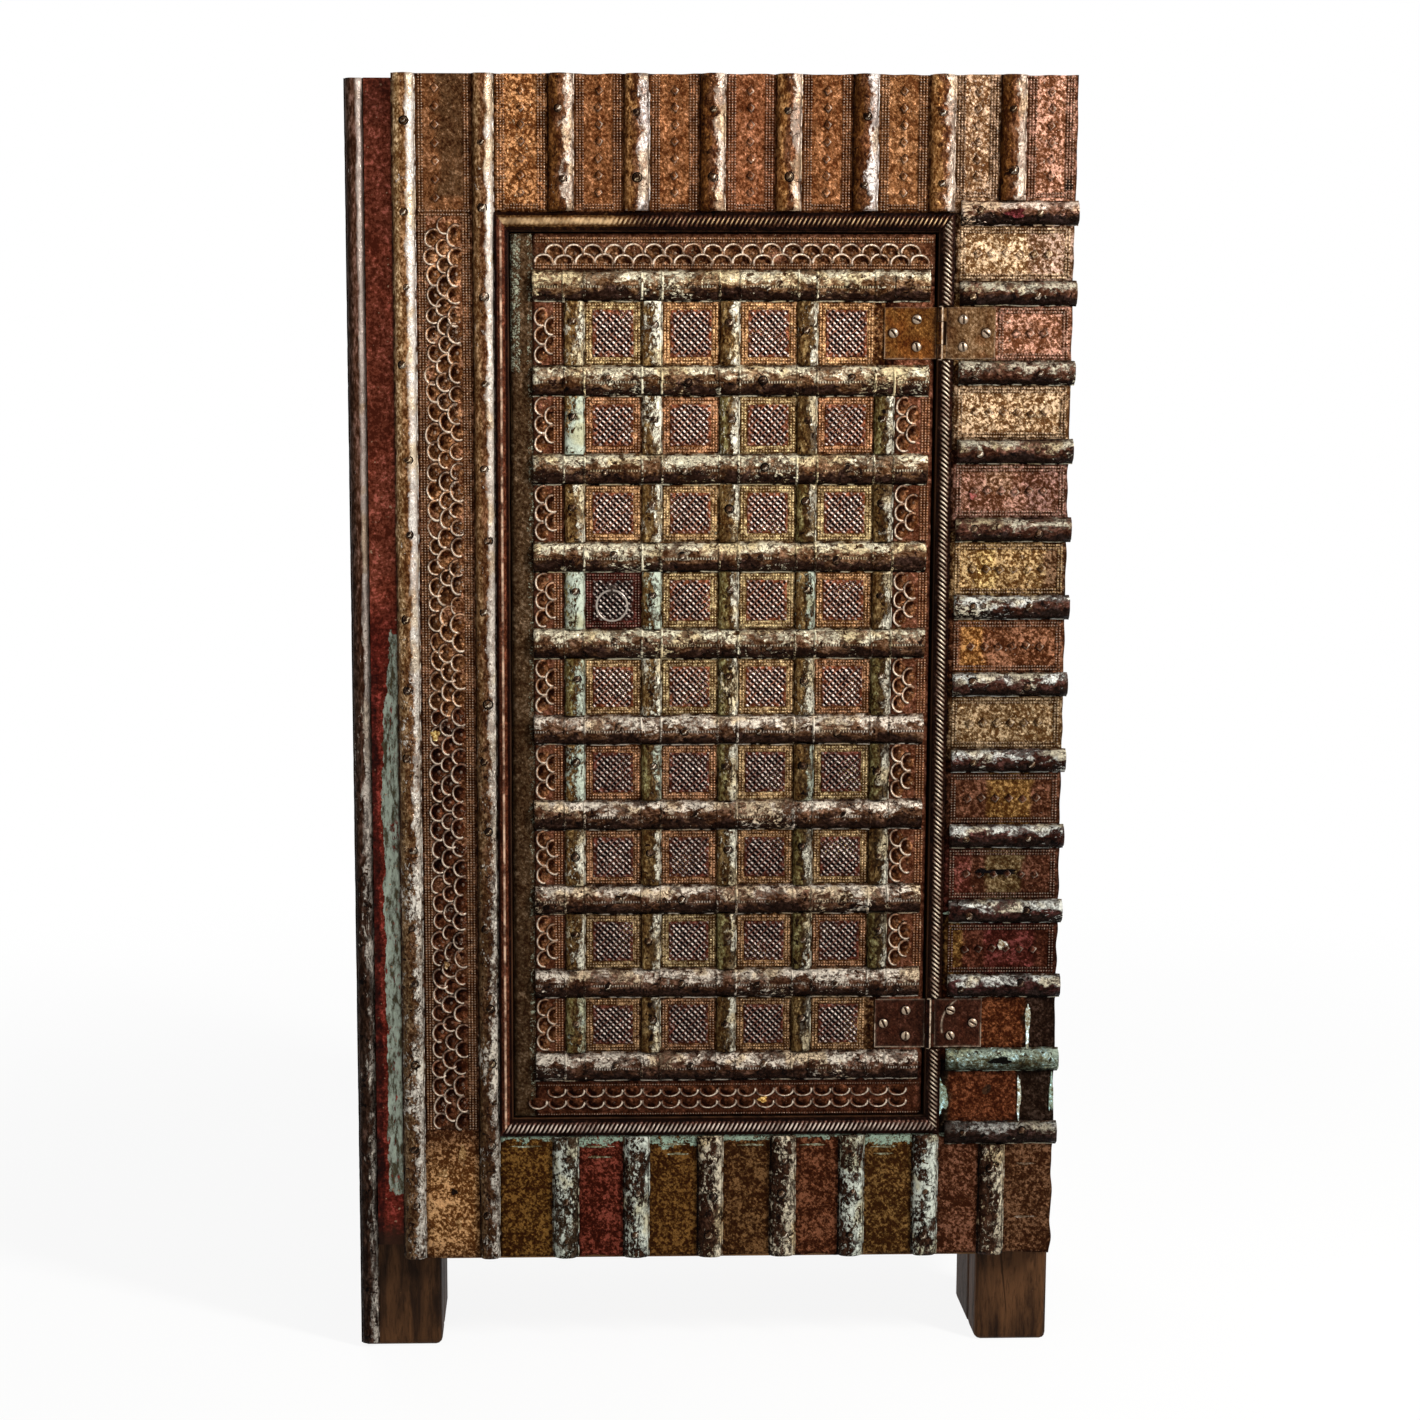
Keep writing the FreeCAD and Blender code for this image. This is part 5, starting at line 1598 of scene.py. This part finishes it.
def make_door_sheets():
    sheets, beads, rims, lattices = Heap(), Heap("door"), Heap(), Heap()
    bottom, top = door_low.z, door_high.z
    left, right = door_low.x, door_high.x

    def paint_left(x, z):
        return np.where(x > strip_right - 0.006, 0.3, np.where((x < left + 0.013) & (z > 1.36), 0.42, -0.25))

    plate(
        sheets, left, strip_right, bottom, top, 0.006, uneven(101), ragged=0.0004, seed=1,
        tone=seen(72, 52, 32), paint=seen(184, 188, 162),
        dirt=dirt_and_shade_near(left, strip_right, bottom, top, 0.004, 0.1, 0.6), flake=paint_left,
    )
    first, last = bar_levels[0], bar_levels[-1]
    band_look = dict(tone=BRONZE, paint=YELLOW_CREAM, flake=0.12)
    low_look = dict(tone=RED_BROWN, paint=PINK_CREAM, flake=0.0)
    plate(
        sheets, strip_right, right, first, top, 0.005, uneven(102), tone=seen(88, 54, 34), paint=YELLOW_CREAM,
        flake=0.05, dirt=dirt_and_shade_near(strip_right, right, first + bar_width / 2, top, 0.004),
    )
    plate(
        sheets, strip_right, right, bottom, last, 0.005, uneven(103), tone=seen(70, 36, 20), paint=PINK_CREAM,
        flake=-0.1, dirt=dirt_and_shade_near(strip_right, right, bottom, last - bar_width / 2, 0.004),
    )
    columns = [
        (strip_right, upright_places[0], strip_right, upright_places[0] - upright_width / 2),
        (upright_places[-1], right, upright_places[-1] + upright_width / 2, right),
    ]
    for side, (x0, x1, seen_left, seen_right) in enumerate(columns):
        plate(
            sheets, x0, x1, last, first, 0.005, uneven(104 + side), tone=seen(96, 56, 36), paint=YELLOW_CREAM,
            flake=0.05, dirt=dirt_and_shade_near(seen_left, seen_right, last, first, 0.003),
        )
    band_bottom = first + bar_width / 2
    for z in (top - 0.006, top - 0.01, band_bottom + 0.003, band_bottom + 0.0068):
        line(beads, strip_right + 0.004, z, right - 0.004, z, **band_look)
    pitch = 0.0262
    count = int((right - strip_right - 0.01) / pitch)
    for row in range(2):
        for k in range(count + (1 - row)):
            x = strip_right + 0.016 + (k + row * 0.5) * pitch
            if x > right - 0.012:
                continue
            z = band_bottom + 0.0095 + row * 0.0135
            mark(
                rims, x + jitter(0.0012), z + jitter(0.0008), (0.0216, 0.0262, 0.003 + jitter(0.0008)),
                turn=(math.pi / 2, math.pi / 2 + jitter(0.2), 0), contrast=0.6, **band_look,
            )
            z = bottom + 0.0175 + row * 0.0165
            mark(
                rims, x - 0.5 * pitch * (1 - row) + jitter(0.0006), z + 0.002, (0.018, 0.0258, 0.0022),
                turn=(math.pi / 2, -math.pi / 2 + jitter(0.1), 0), **low_look,
            )
    for z in (bottom + 0.003, bottom + 0.0445):
        line(beads, strip_right + 0.004, z, right - 0.004, z, dirt=0.2, **low_look)
    for side, (x0, x1, seen_left, seen_right) in enumerate(columns):
        ladder = seen_right - (0.005 if side else 0.004)
        for upper, lower in zip(bar_levels, bar_levels[1:]):
            if side and upper in (bar_levels[0], bar_levels[-2]):
                continue  # under a hinge leaf
            z0, z1 = lower + bar_width / 2 + 0.002, upper - bar_width / 2 - 0.002
            for k in range(3):
                x = ladder - k * 0.0042
                line(beads, x, z0, x, z1, gain=2.0, tone=COPPER, paint=YELLOW_CREAM, flake=0.12)
            for k in range(3):
                z = z0 + 0.012 + k * 0.0245
                for step in range(2):
                    if z + step * 0.0122 > z1 - 0.006:
                        continue
                    mark(
                        rims, seen_left + 0.0125 + step * 0.0135, z + step * 0.0122, (0.0205, 0.0245, 0.0028),
                        turn=(math.pi / 2, jitter(0.35), 0), tone=COPPER, paint=YELLOW_CREAM, flake=0.1,
                        contrast=0.6,
                    )
    tones = [seen(158, 124, 78), seen(154, 112, 68), seen(152, 124, 78), seen(144, 98, 60)]
    seed = 0
    for row, (upper, lower) in enumerate(zip(bar_levels, bar_levels[1:])):
        for column, (x0, x1) in enumerate(zip(upright_places, upright_places[1:])):
            seed += 1
            tone = tones[draw.integers(0, 4)] * (1.0 - 0.05 * row)
            behind_ring = (row, column) == (3, 0)
            if behind_ring:
                tone = seen(72, 32, 22)
            paint = MINT if (row, column) in ((0, 1), (2, 1)) else YELLOW_CREAM
            look = dict(tone=tone, paint=paint, flake=0.08 + jitter(0.1), contrast=1.4)
            u0, u1 = x0 + upright_width / 2, x1 - upright_width / 2
            z0, z1 = lower + bar_width / 2, upper - bar_width / 2
            plate(
                sheets, x0, x1, lower, upper, 0.0065, uneven(200 + seed),
                dirt=dirt_and_shade_near(u0, u1, z0, z1, 0.003), **look,
            )
            frame_lines(beads, u0, u1, z0, z1, (0.0033, 0.0072), gain=2.0, **look)
            a0, a1, b0, b1 = u0 + 0.0102, u1 - 0.0102, z0 + 0.01, z1 - 0.01
            # Each lattice's paint colour is the painted highlight of its bright dashes.
            plate(
                lattices, a0, a1, b0, b1, 0.00135, lattice_lift(a0, a1, b0, b1, seed),
                back=sheet_y + 0.0006,
                tone=seen(48, 22, 15) if behind_ring else seen(104, 54, 30) if row < 5 else seen(80, 38, 24),
                paint=seen(255, 236, 222) * (1.08 - 0.3 * (seed * 0.37 % 1)) * (1.0 if row < 5 else 0.82),
                fade=lambda x, z: np.clip(
                    inside_by(x, z, a0, a1, b0, b1) / 0.005 + ripple(x, z, 0.006, seed) * 0.7, 0, 1
                ),
                rising=lambda x, z: (x - a0 + z - b0) / LATTICE_PITCH,
                falling=lambda x, z: (x - a0 - z + b0) / LATTICE_PITCH,
            )
    finish_piece(sheets, "door_sheet_metal", "door", *COPPER_SHEET)
    finish_piece(lattices, "door_lattice_metal", "door", "dark_copper_sheet", lattice_copper)
    bead_piece(beads, "door_beads", "door", "copper_sheet", 0.0035, 0.0014, 0.0011, 3)
    stamp_piece(
        rims, "door_scales", "door", "copper_sheet", rim_stamp, embossed_sheet, (0.0014, 0.0007, 0.0014),
        90.0, 23,
    )
    chip("door", 0.076, 0.365, 0.012, 0.008, 0.003, 5, tone=seen(196, 150, 80))
    finish_piece(grooves["door"], "door_grooves", "door", *COPPER_SHEET, False)
    finish_piece(chips["door"], "door_chips", "door", *COPPER_SHEET, False)


def make_frame_sheets():
    sheets, beads, rims, lozenges = Heap(), Heap("cabinet"), Heap(), Heap()
    make_left_stile_sheets(sheets, rims, lozenges, beads)
    make_top_rail_sheets(sheets, lozenges, beads)
    make_right_stile_sheets(sheets, lozenges, beads)
    make_bottom_rail_sheets(sheets)
    finish_piece(sheets, "frame_sheet_metal", "cabinet", *COPPER_SHEET)
    finish_piece(grooves["cabinet"], "frame_grooves", "cabinet", *COPPER_SHEET, False)
    finish_piece(chips["cabinet"], "frame_chips", "cabinet", *COPPER_SHEET, False)
    bead_piece(beads, "frame_beads", "cabinet", "copper_sheet", 0.0036, 0.0015, 0.0011, 5)
    stamp_piece(
        rims, "left_stile_scales", "cabinet", "copper_sheet", rim_stamp, embossed_sheet,
        (0.0016, 0.0008, 0.0016), 90.0, 29,
    )
    stamp_piece(
        lozenges, "frame_lozenges", "cabinet", "copper_sheet", lozenge_stamp, embossed_sheet,
        (0.0008, 0.0004, 0.0008), 150.0, 31,
    )


# Mouldings
def rope_strip(
    outer_start, outer_end, inner_start, inner_end, name, slant, depth, tone, paint, sharpness=1.0, worn=0.0,
):
    """One mitred length from its corners, outer edge first; worn is the share rubbed smooth at its start."""
    outer_start, outer_end, inner_start, inner_end = (
        np.array(corner) for corner in (outer_start, outer_end, inner_start, inner_end)
    )
    length = np.linalg.norm(outer_end - outer_start)
    along_way = (outer_end - outer_start) / length
    steps, rows = int(length / 0.0011), 14
    heap = Heap()
    points, along, across, raised, smoothed = [], [], [], [], []
    for k in range(steps + 1):
        share = k / steps
        one = outer_start + (outer_end - outer_start) * share
        two = inner_start + (inner_end - inner_start) * share
        for row in range(-1, rows + 2):
            place = min(max(row, 0), rows) / rows
            spot = one + (two - one) * place
            points.append((spot[0], core_y, spot[1]))
            along.append(np.dot(spot - outer_start, along_way))
            across.append(place)
            raised.append(0.0 if row in (-1, rows + 1) else 1.0)
            smoothed.append(min(max((worn - share) * 12 + 0.5, 0.0), 1.0) * 0.85 if worn else 0.0)
    count = rows + 3
    faces = skin(steps, count, True)
    faces.append(list(range(count)))
    faces.append([steps * count + k for k in range(count - 1, -1, -1)])
    rubbed = np.array(smoothed)[:, None]
    tone = tone * (1 - rubbed) + seen(92, 62, 30) * rubbed
    heap.lay(
        points, faces, along=along, across=across, raised=raised, smoothed=smoothed, tone=tone, paint=paint,
        patchy=0.0 if slant else 0.9,
    )
    piece = with_normals_out(heap.build(name + "_strip"))
    add_tree_modifier(
        piece, rope_moulding, Crown=0.0098, Fillet=0.0045, Flute_depth=depth, Slant=slant,
        Crown_sharpness=sharpness, Surface=rope_bronze,
    )
    finish_piece(piece, name, "cabinet", "moulding_metal")


def make_mouldings():
    left_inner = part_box("left_moulding")[1].x
    right_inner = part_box("right_moulding")[0].x
    top_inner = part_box("top_moulding")[0].z
    bottom_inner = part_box("bottom_moulding")[1].z
    rope_strip(
        (moulding_left, moulding_top), (moulding_right, moulding_top), (left_inner, top_inner),
        (right_inner, top_inner), "top_moulding_rope", 1.9, 0.0026, seen(60, 34, 20), seen(226, 188, 140),
        2.0, 0.28,
    )
    rope_strip(
        (moulding_left, moulding_bottom), (moulding_right, moulding_bottom), (left_inner, bottom_inner),
        (right_inner, bottom_inner), "bottom_moulding_rope", -1.9, 0.0026, seen(76, 47, 34),
        seen(255, 234, 216),
    )
    rope_strip(
        (moulding_left, moulding_bottom), (moulding_left, moulding_top), (left_inner, bottom_inner),
        (left_inner, top_inner), "left_moulding_bead", 0.0, 0.0, seen(78, 39, 22), seen(240, 200, 168), 14.0,
    )
    cuts = [moulding_bottom]
    for low, high in reversed(hinges):
        cuts += [low[2] - 0.0008, high[2] + 0.0008]
    cuts.append(moulding_top)
    for k in range(3):
        low, high = cuts[2 * k], cuts[2 * k + 1]
        rope_strip(
            (moulding_right, low), (moulding_right, high), (right_inner, bottom_inner if k == 0 else low),
            (right_inner, top_inner if k == 2 else high), "right_moulding_rope_" + "abc"[k], -2.4, 0.0026,
            seen(84, 58, 42), seen(222, 206, 180),
        )


# Hinges and ring pull
def soft_block(low, high, rounding, sections=2):
    """A closed block with rounded edges."""
    work = bmesh.new()
    bmesh.ops.create_cube(work, size=1.0)
    size = Vector(high) - Vector(low)
    middle = (Vector(high) + Vector(low)) / 2
    for vertex in work.verts:
        vertex.co = vertex.co * size + middle
    bmesh.ops.bevel(work, geom=work.edges[:], offset=rounding, segments=sections, profile=0.5, affect="EDGES")
    points = [vertex.co[:] for vertex in work.verts]
    work.verts.index_update()
    faces = [[vertex.index for vertex in face.verts] for face in work.faces]
    work.free()
    return points, faces


def turned_forward(points, centre):
    """Moves a shape turned about Z to stand on a centre and point to the front."""
    return [(x + centre[0], centre[1] - z, y + centre[2]) for x, y, z in points]


def barrel(radius, length, sides=28, soft=0.0006):
    profile = [
        (radius - soft, 0.0), (radius, soft), (radius, length - soft), (radius - soft, length), (0.0, length),
    ]
    return lathe(profile, sides)


def make_hinges():
    frame_leaves, door_leaves, pins = Heap(), Heap(), Heap()
    frame_tones, door_tones = [seen(102, 74, 46), HINGE_BROWN], [seen(100, 62, 24), HINGE_BROWN]
    front, knuckle_half = core_y - 0.003, 0.0155
    screws = [
        ((low[0] + high[0]) / 2, (low[2] + high[2]) / 2)
        for node_name in ("hinge_frame_screws", "hinge_door_screws") for low, high in solids(node_name)
    ]
    for k, (low, high) in enumerate(hinges):
        head = (high[2] - low[2] - HINGE_HEIGHT) / 2
        z0, z1 = low[2] + head, high[2] - head
        middle = (z0 + z1) / 2
        for heap, x0, x1, tone, on_frame in (
            (frame_leaves, hinge_x + 0.0085, leaf_high.x, frame_tones[k], True),
            (door_leaves, door_leaf_low.x, hinge_x - 0.0046, door_tones[k], False),
        ):

            # Shine: a painted highlight along the leaf's edges; the lower frame leaf also gets a bright arc.
            def shine(x, z):
                depth = inside_by(x, z, x0, x1, z0, z1)
                depth = np.where(z < middle, depth, depth + 0.001)
                bright = (0.35 + 0.4 * k) * np.exp(-np.clip(depth, 0, None) / 0.0007)
                if k and on_frame:
                    arc = np.abs(np.hypot(x - x0 - 0.052, z - middle + 0.004) - 0.042)
                    bright += np.where((z > middle - 0.014) & (x < x0 + 0.03), 0.8 * np.exp(-arc / 0.0005), 0)
                return bright

            # Painted shadows: a ring beside each screw, set toward the upper left, and darkening along the
            # knuckle side.
            def dirt(x, z):
                ring = 0.65 * np.exp(-np.abs(x - (x0 if on_frame else x1)) / 0.008)
                for at_x, at_z in screws:
                    away = np.hypot(x - at_x + 0.0012, z - at_z - 0.0008)
                    ring = np.maximum(ring, 0.95 * np.exp(-np.clip(away - 0.0062, 0, None) / 0.0014))
                return ring

            plate(
                heap, x0, x1, z0, z1, 0.0012, sheet_y - front, ragged=0.0003, seed=k, tone=tone, shine=shine,
                dirt=dirt,
            )
        pieces = (
            (frame_leaves, z0, middle - knuckle_half, frame_tones[k], 1),
            (frame_leaves, middle + knuckle_half, z1, frame_tones[k], 1),
            (door_leaves, middle - knuckle_half + 0.0005, middle + knuckle_half - 0.0005, door_tones[k], -1),
        )
        for heap, bottom, top, tone, side in pieces:
            points, faces = barrel(KNUCKLE, top - bottom)
            # A painted highlight and painted shade down the front of each knuckle.
            bright = [1.0 if 0.3 < x / KNUCKLE < 0.9 and y < 0 else 0.0 for x, y, z in points]
            shaded = [0.9 if -0.75 < x / KNUCKLE < 0.15 and y < 0 else 0.2 for x, y, z in points]
            heap.lay(
                [(x + hinge_x, y + hinge_y, z + bottom) for x, y, z in points], faces, tone=tone,
                shine=bright, dirt=shaded,
            )
            reach = 0.0092 if side == 1 else 0.0056
            x0, x1 = sorted((hinge_x + side * 0.0005, hinge_x + side * reach))
            points, faces = soft_block((x0, front, bottom), (x1, core_y - 0.0002, top), 0.0004, 1)
            heap.lay(points, faces, tone=tone, shine=0.0)
        cap = (0.0029, 0.0016, 20, 0.0005)
        for bottom, shape in ((z1, cap), (z0 - 0.0016, cap), (z0, (PIN, z1 - z0, 12, 0.0002))):
            points, faces = barrel(*shape)
            pins.lay([(x + hinge_x, y + hinge_y, z + bottom) for x, y, z in points], faces)
    made = []
    leaf_look = ("hinge_bronze", hinge_metal)
    for heap, name, body, slot, material, node_name in (
        (frame_leaves, "hinge_frame_leaf_metal", "cabinet", *leaf_look, "hinge_frame_leaves"),
        (door_leaves, "hinge_door_leaf_metal", "door", *leaf_look, "hinge_door_leaves"),
        (pins, "hinge_pin_metal", "cabinet", "screw_steel", screw_steel, "hinge_pins"),
    ):
        made.append((finish_piece(heap, name, body, slot, material, False), node_name))
    for body, node_name in (("cabinet", "hinge_frame_screws"), ("door", "hinge_door_screws")):
        heap = Heap()
        for low, high in solids(node_name):
            x, z = (low[0] + high[0]) / 2, (low[2] + high[2]) / 2
            heap.lay(
                [(x, low[1] + SCREW_HEIGHT, z)], size=(SCREW_WIDTH, SCREW_WIDTH, SCREW_HEIGHT),
                turn=(math.pi / 2, 1.1 + jitter(0.7), 0),
            )
        piece = stamp_piece(heap, node_name + "_heads", body, "screw_steel", screw_stamp, screw_steel)
        made.append((piece, node_name))
    return made


def tube_ring(centre, radius, wire, turns=72, sides=12):
    points = []
    for k in range(turns):
        turn = 2 * math.pi * k / turns
        for j in range(sides):
            round_turn = 2 * math.pi * j / sides
            reach = radius + wire * math.cos(round_turn)
            x, z = reach * math.sin(turn), reach * math.cos(turn)
            points.append((centre[0] + x, centre[1] + wire * math.sin(round_turn), centre[2] + z))
    return points, [[corner % len(points) for corner in face] for face in skin(turns, sides)]


def make_ring_pull():
    low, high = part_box("ring")
    centre = ((low.x + high.x) / 2, (low.y + high.y) / 2, (low.z + high.z) / 2)
    wire = (high.y - low.y) / 2 / math.sin(math.pi / 3)
    heap = Heap()
    points, faces = tube_ring(centre, (high.x - low.x) / 2 - wire, wire)
    heap.lay(points, faces)
    piece = with_normals_out(heap.build("raw"))
    ring = finish_piece(piece, "ring_wire", "pull_ring", "dark_iron", ring_iron)
    pivot_z = high.z - wire
    heap = Heap()
    points, faces = lathe(
        [(0.008, 0.0), (0.0082, 0.0008), (0.0066, 0.002), (0.0046, 0.0027), (0.0, 0.003)], 24,
    )
    heap.lay(turned_forward(points, (centre[0], sheet_y + 0.0002, pivot_z)), faces)
    points, faces = barrel(0.0024, 0.0055, 16, 0.0002)
    heap.lay(turned_forward(points, (centre[0], sheet_y, pivot_z)), faces)
    points, faces = tube_ring((centre[0], centre[1], pivot_z), 0.00355, 0.00145, 32, 10)
    points = [(centre[0] + (y - centre[1]), centre[1] + (x - centre[0]), z) for x, y, z in points]
    faces = [tuple(reversed(face)) for face in faces]
    heap.lay(points, faces)
    boss = finish_piece(heap, "pull_boss_metal", "door", "dark_iron", dark_iron)
    return ring, boss


# Timber
def make_timber_block(name, node_name, slot, timber, rounding, inset=(0, 0, 0, 0), count=0, axis=0):
    """Worn wood in the place of a node, with softened edges; count planks lie side by side along an axis."""
    heap = Heap()
    if count:
        start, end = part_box(node_name)
        step = (end - start)[axis] / count
        places = []
        for k in range(count):
            low, high = start.copy(), end.copy()
            low[axis], high[axis] = start[axis] + k * step, start[axis] + (k + 1) * step
            places.append((low, high))
    else:
        places = sorted(solids(node_name), key=lambda pair: tuple(pair[0]))
    for number, (low, high) in enumerate(places):
        left, right, bottom, top = inset
        low = (low[0] + left, low[1], low[2] + bottom)
        high = (high[0] - right, high[1], high[2] - top)
        points, faces = soft_block(low, high, rounding, 3)
        heap.lay(points, faces, board=number)
    piece = finish_piece(heap, name, "cabinet", slot, timber, False)
    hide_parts(node_name)


def dress(node_name, material):
    """Gives a node of the part its finish."""
    mesh = frame["nodes"][node_name].data
    mesh.materials.clear()
    mesh.materials.append(material)


make_frame_ridges()
make_door_ridges()
make_frame_sheets()
make_door_sheets()
make_mouldings()
hinge_pieces = make_hinges()
ring_piece, boss_piece = make_ring_pull()
for thing in helpers:
    bpy.data.objects.remove(thing)

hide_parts("left_stile_ridges")
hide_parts("top_rail_ridges")
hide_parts("right_stile_ridges")
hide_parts("bottom_rail_ridges")
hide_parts("post_edge_strip")
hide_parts("door_cross_bars")
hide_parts("door_upright_ridges")
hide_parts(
    "left_stile_sheets", "top_rail_sheets", "right_stile_sheets",
    "bottom_rail_sheets",
)
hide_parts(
    "door_edge_strip", "door_top_scale_band", "door_bottom_scale_band",
    "door_left_scale_column", "door_right_scale_column", "door_lattice_sheets",
)
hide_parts("top_moulding")
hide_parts("bottom_moulding")
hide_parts("left_moulding")
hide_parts("right_moulding")
for piece, node_name in hinge_pieces:
    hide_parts(node_name)
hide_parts("ring")
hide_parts("pull_boss")

FLUSH = (0, 0, 0, 0)  # a block that fills its node
timbers = [
    ("left_post_timber", "front_left_post", "post_wood", post_timber, 0.009),
    ("right_post_timber", "front_right_post", "post_wood", post_timber, 0.009),
    ("foot_timber", "front_foot_blocks", "post_wood", post_timber, 0.009),
    ("left_stile_core", "left_stile", "front_wood", core_timber, 0.001, (0.0015, 0, 0.0025, 0.001)),
    ("top_rail_core", "top_rail", "front_wood", core_timber, 0.001, (0, 0.0025, 0, 0.001)),
    ("bottom_rail_core", "bottom_rail", "front_wood", core_timber, 0.001, (0, 0.0025, 0.0025, 0)),
    ("right_stile_core", "right_stile", "front_wood", core_timber, 0.001, (0, 0.0025, 0, 0)),
    ("left_side_planks_timber", "left_side_planks", "carcass_wood", side_timber, 0.0024, FLUSH, 3, 1),
    ("right_side_planks_timber", "right_side_planks", "carcass_wood", side_timber, 0.0024, FLUSH, 3, 1),
    ("back_planks_timber", "back_planks", "carcass_wood", side_timber, 0.0024, FLUSH, 6, 0),
    ("top_boards_timber", "top_boards", "carcass_wood", top_timber, 0.0024, FLUSH, 3, 1),
    ("rear_posts_timber", "rear_posts", "carcass_wood", side_timber, 0.0024),
]
for row in timbers:
    make_timber_block(*row)
for node_name in ("bottom_board", "lower_shelf", "middle_shelf", "upper_shelf", "door_battens"):
    dress(node_name, shelf_timber)
for node_name in ("shelf_cleats", "door_planks", "door_stop"):
    dress(node_name, inner_timber)
dress("post_painted_strip", painted_strip)
dress("magnetic_catch", catch_plastic)
dress("catch_plate", screw_steel)
dress("pull_nut", dark_iron)


# Camera, floor and light
camera_data = bpy.data.cameras.new("camera")
camera_data.sensor_width = 36
camera_data.lens = 60.25
camera_data.shift_x = 0.0656
camera_data.clip_end = 60
camera = placed("camera", camera_data)
camera.location = (-0.203, -3.392, 1.328)
camera.rotation_euler = (math.radians(82.53), 0, math.radians(-1.38))
bpy.context.scene.camera = camera


def background_rays(tree):
    """1 for the rays that show the background as it is: from the camera, off gloss and through glass."""
    rays = node(tree, "ShaderNodeLightPath")
    return calc(
        "MAXIMUM", calc("MAXIMUM", rays["Is Camera Ray"], rays["Is Glossy Ray"]), rays["Is Transmission Ray"],
    )


def make_floor():
    material, shader, place, laid = new_material("pale_floor", 0.0, 0.8)
    tree = place.tree
    feed(shader, {"Base Color": (0.86, 0.86, 0.85, 1.0), "Specular IOR Level": 0.1})
    white = node(tree, "ShaderNodeEmission", {"Color": (1.0, 1.0, 1.0, 1.0), "Strength": 1.0})[0]
    away = node(tree, "ShaderNodeVectorMath", {0: place}, operation="LENGTH")["Value"]
    share = background_rays(tree) * ramp(away, 1.2, 3.2, 0.9, 1.0)
    mixed = node(tree, "ShaderNodeMixShader", {0: share, 1: Value(shader.outputs[0]), 2: white})[0]
    feed(tree.nodes["Material Output"], {"Surface": mixed})
    mesh = bpy.data.meshes.new("floor")
    reach = 14.0
    mesh.from_pydata(
        [(-reach, -reach, 0), (reach, -reach, 0), (reach, reach, 0), (-reach, reach, 0)], [], [(0, 1, 2, 3)],
    )
    mesh.materials.append(material)
    floor = placed("floor", mesh)


def soft_light(name, place, size, power, tint, target=(0.0, -0.2, 0.95)):
    data = bpy.data.lights.new(name, "AREA")
    data.shape = "RECTANGLE"
    data.size, data.size_y = size
    data.energy = power
    data.color = tint
    light = placed(name, data)
    light.location = place
    light.rotation_euler = (Vector(target) - Vector(place)).to_track_quat("-Z", "Y").to_euler()


make_floor()
soft_light("key_light", (2.7, -2.2, 3.0), (0.5, 1.3), 205.0, (1.0, 0.985, 0.965))
soft_light("fill_light", (-2.4, -3.4, 1.9), (1.6, 1.6), 16.0, (1.0, 0.98, 0.96))
soft_light("back_light", (-1.6, 3.2, 2.6), (2.0, 2.0), 40.0, (0.97, 0.98, 1.0))

world = bpy.data.worlds.new("studio")
world.use_nodes = True
bpy.context.scene.world = world
sky = world.node_tree
feed(sky.nodes["Background"], {"Strength": background_rays(sky) * 0.7 + 0.3, "Color": (1.0, 1.0, 1.0, 1.0)})
bpy.context.scene.view_settings.view_transform = "Standard"
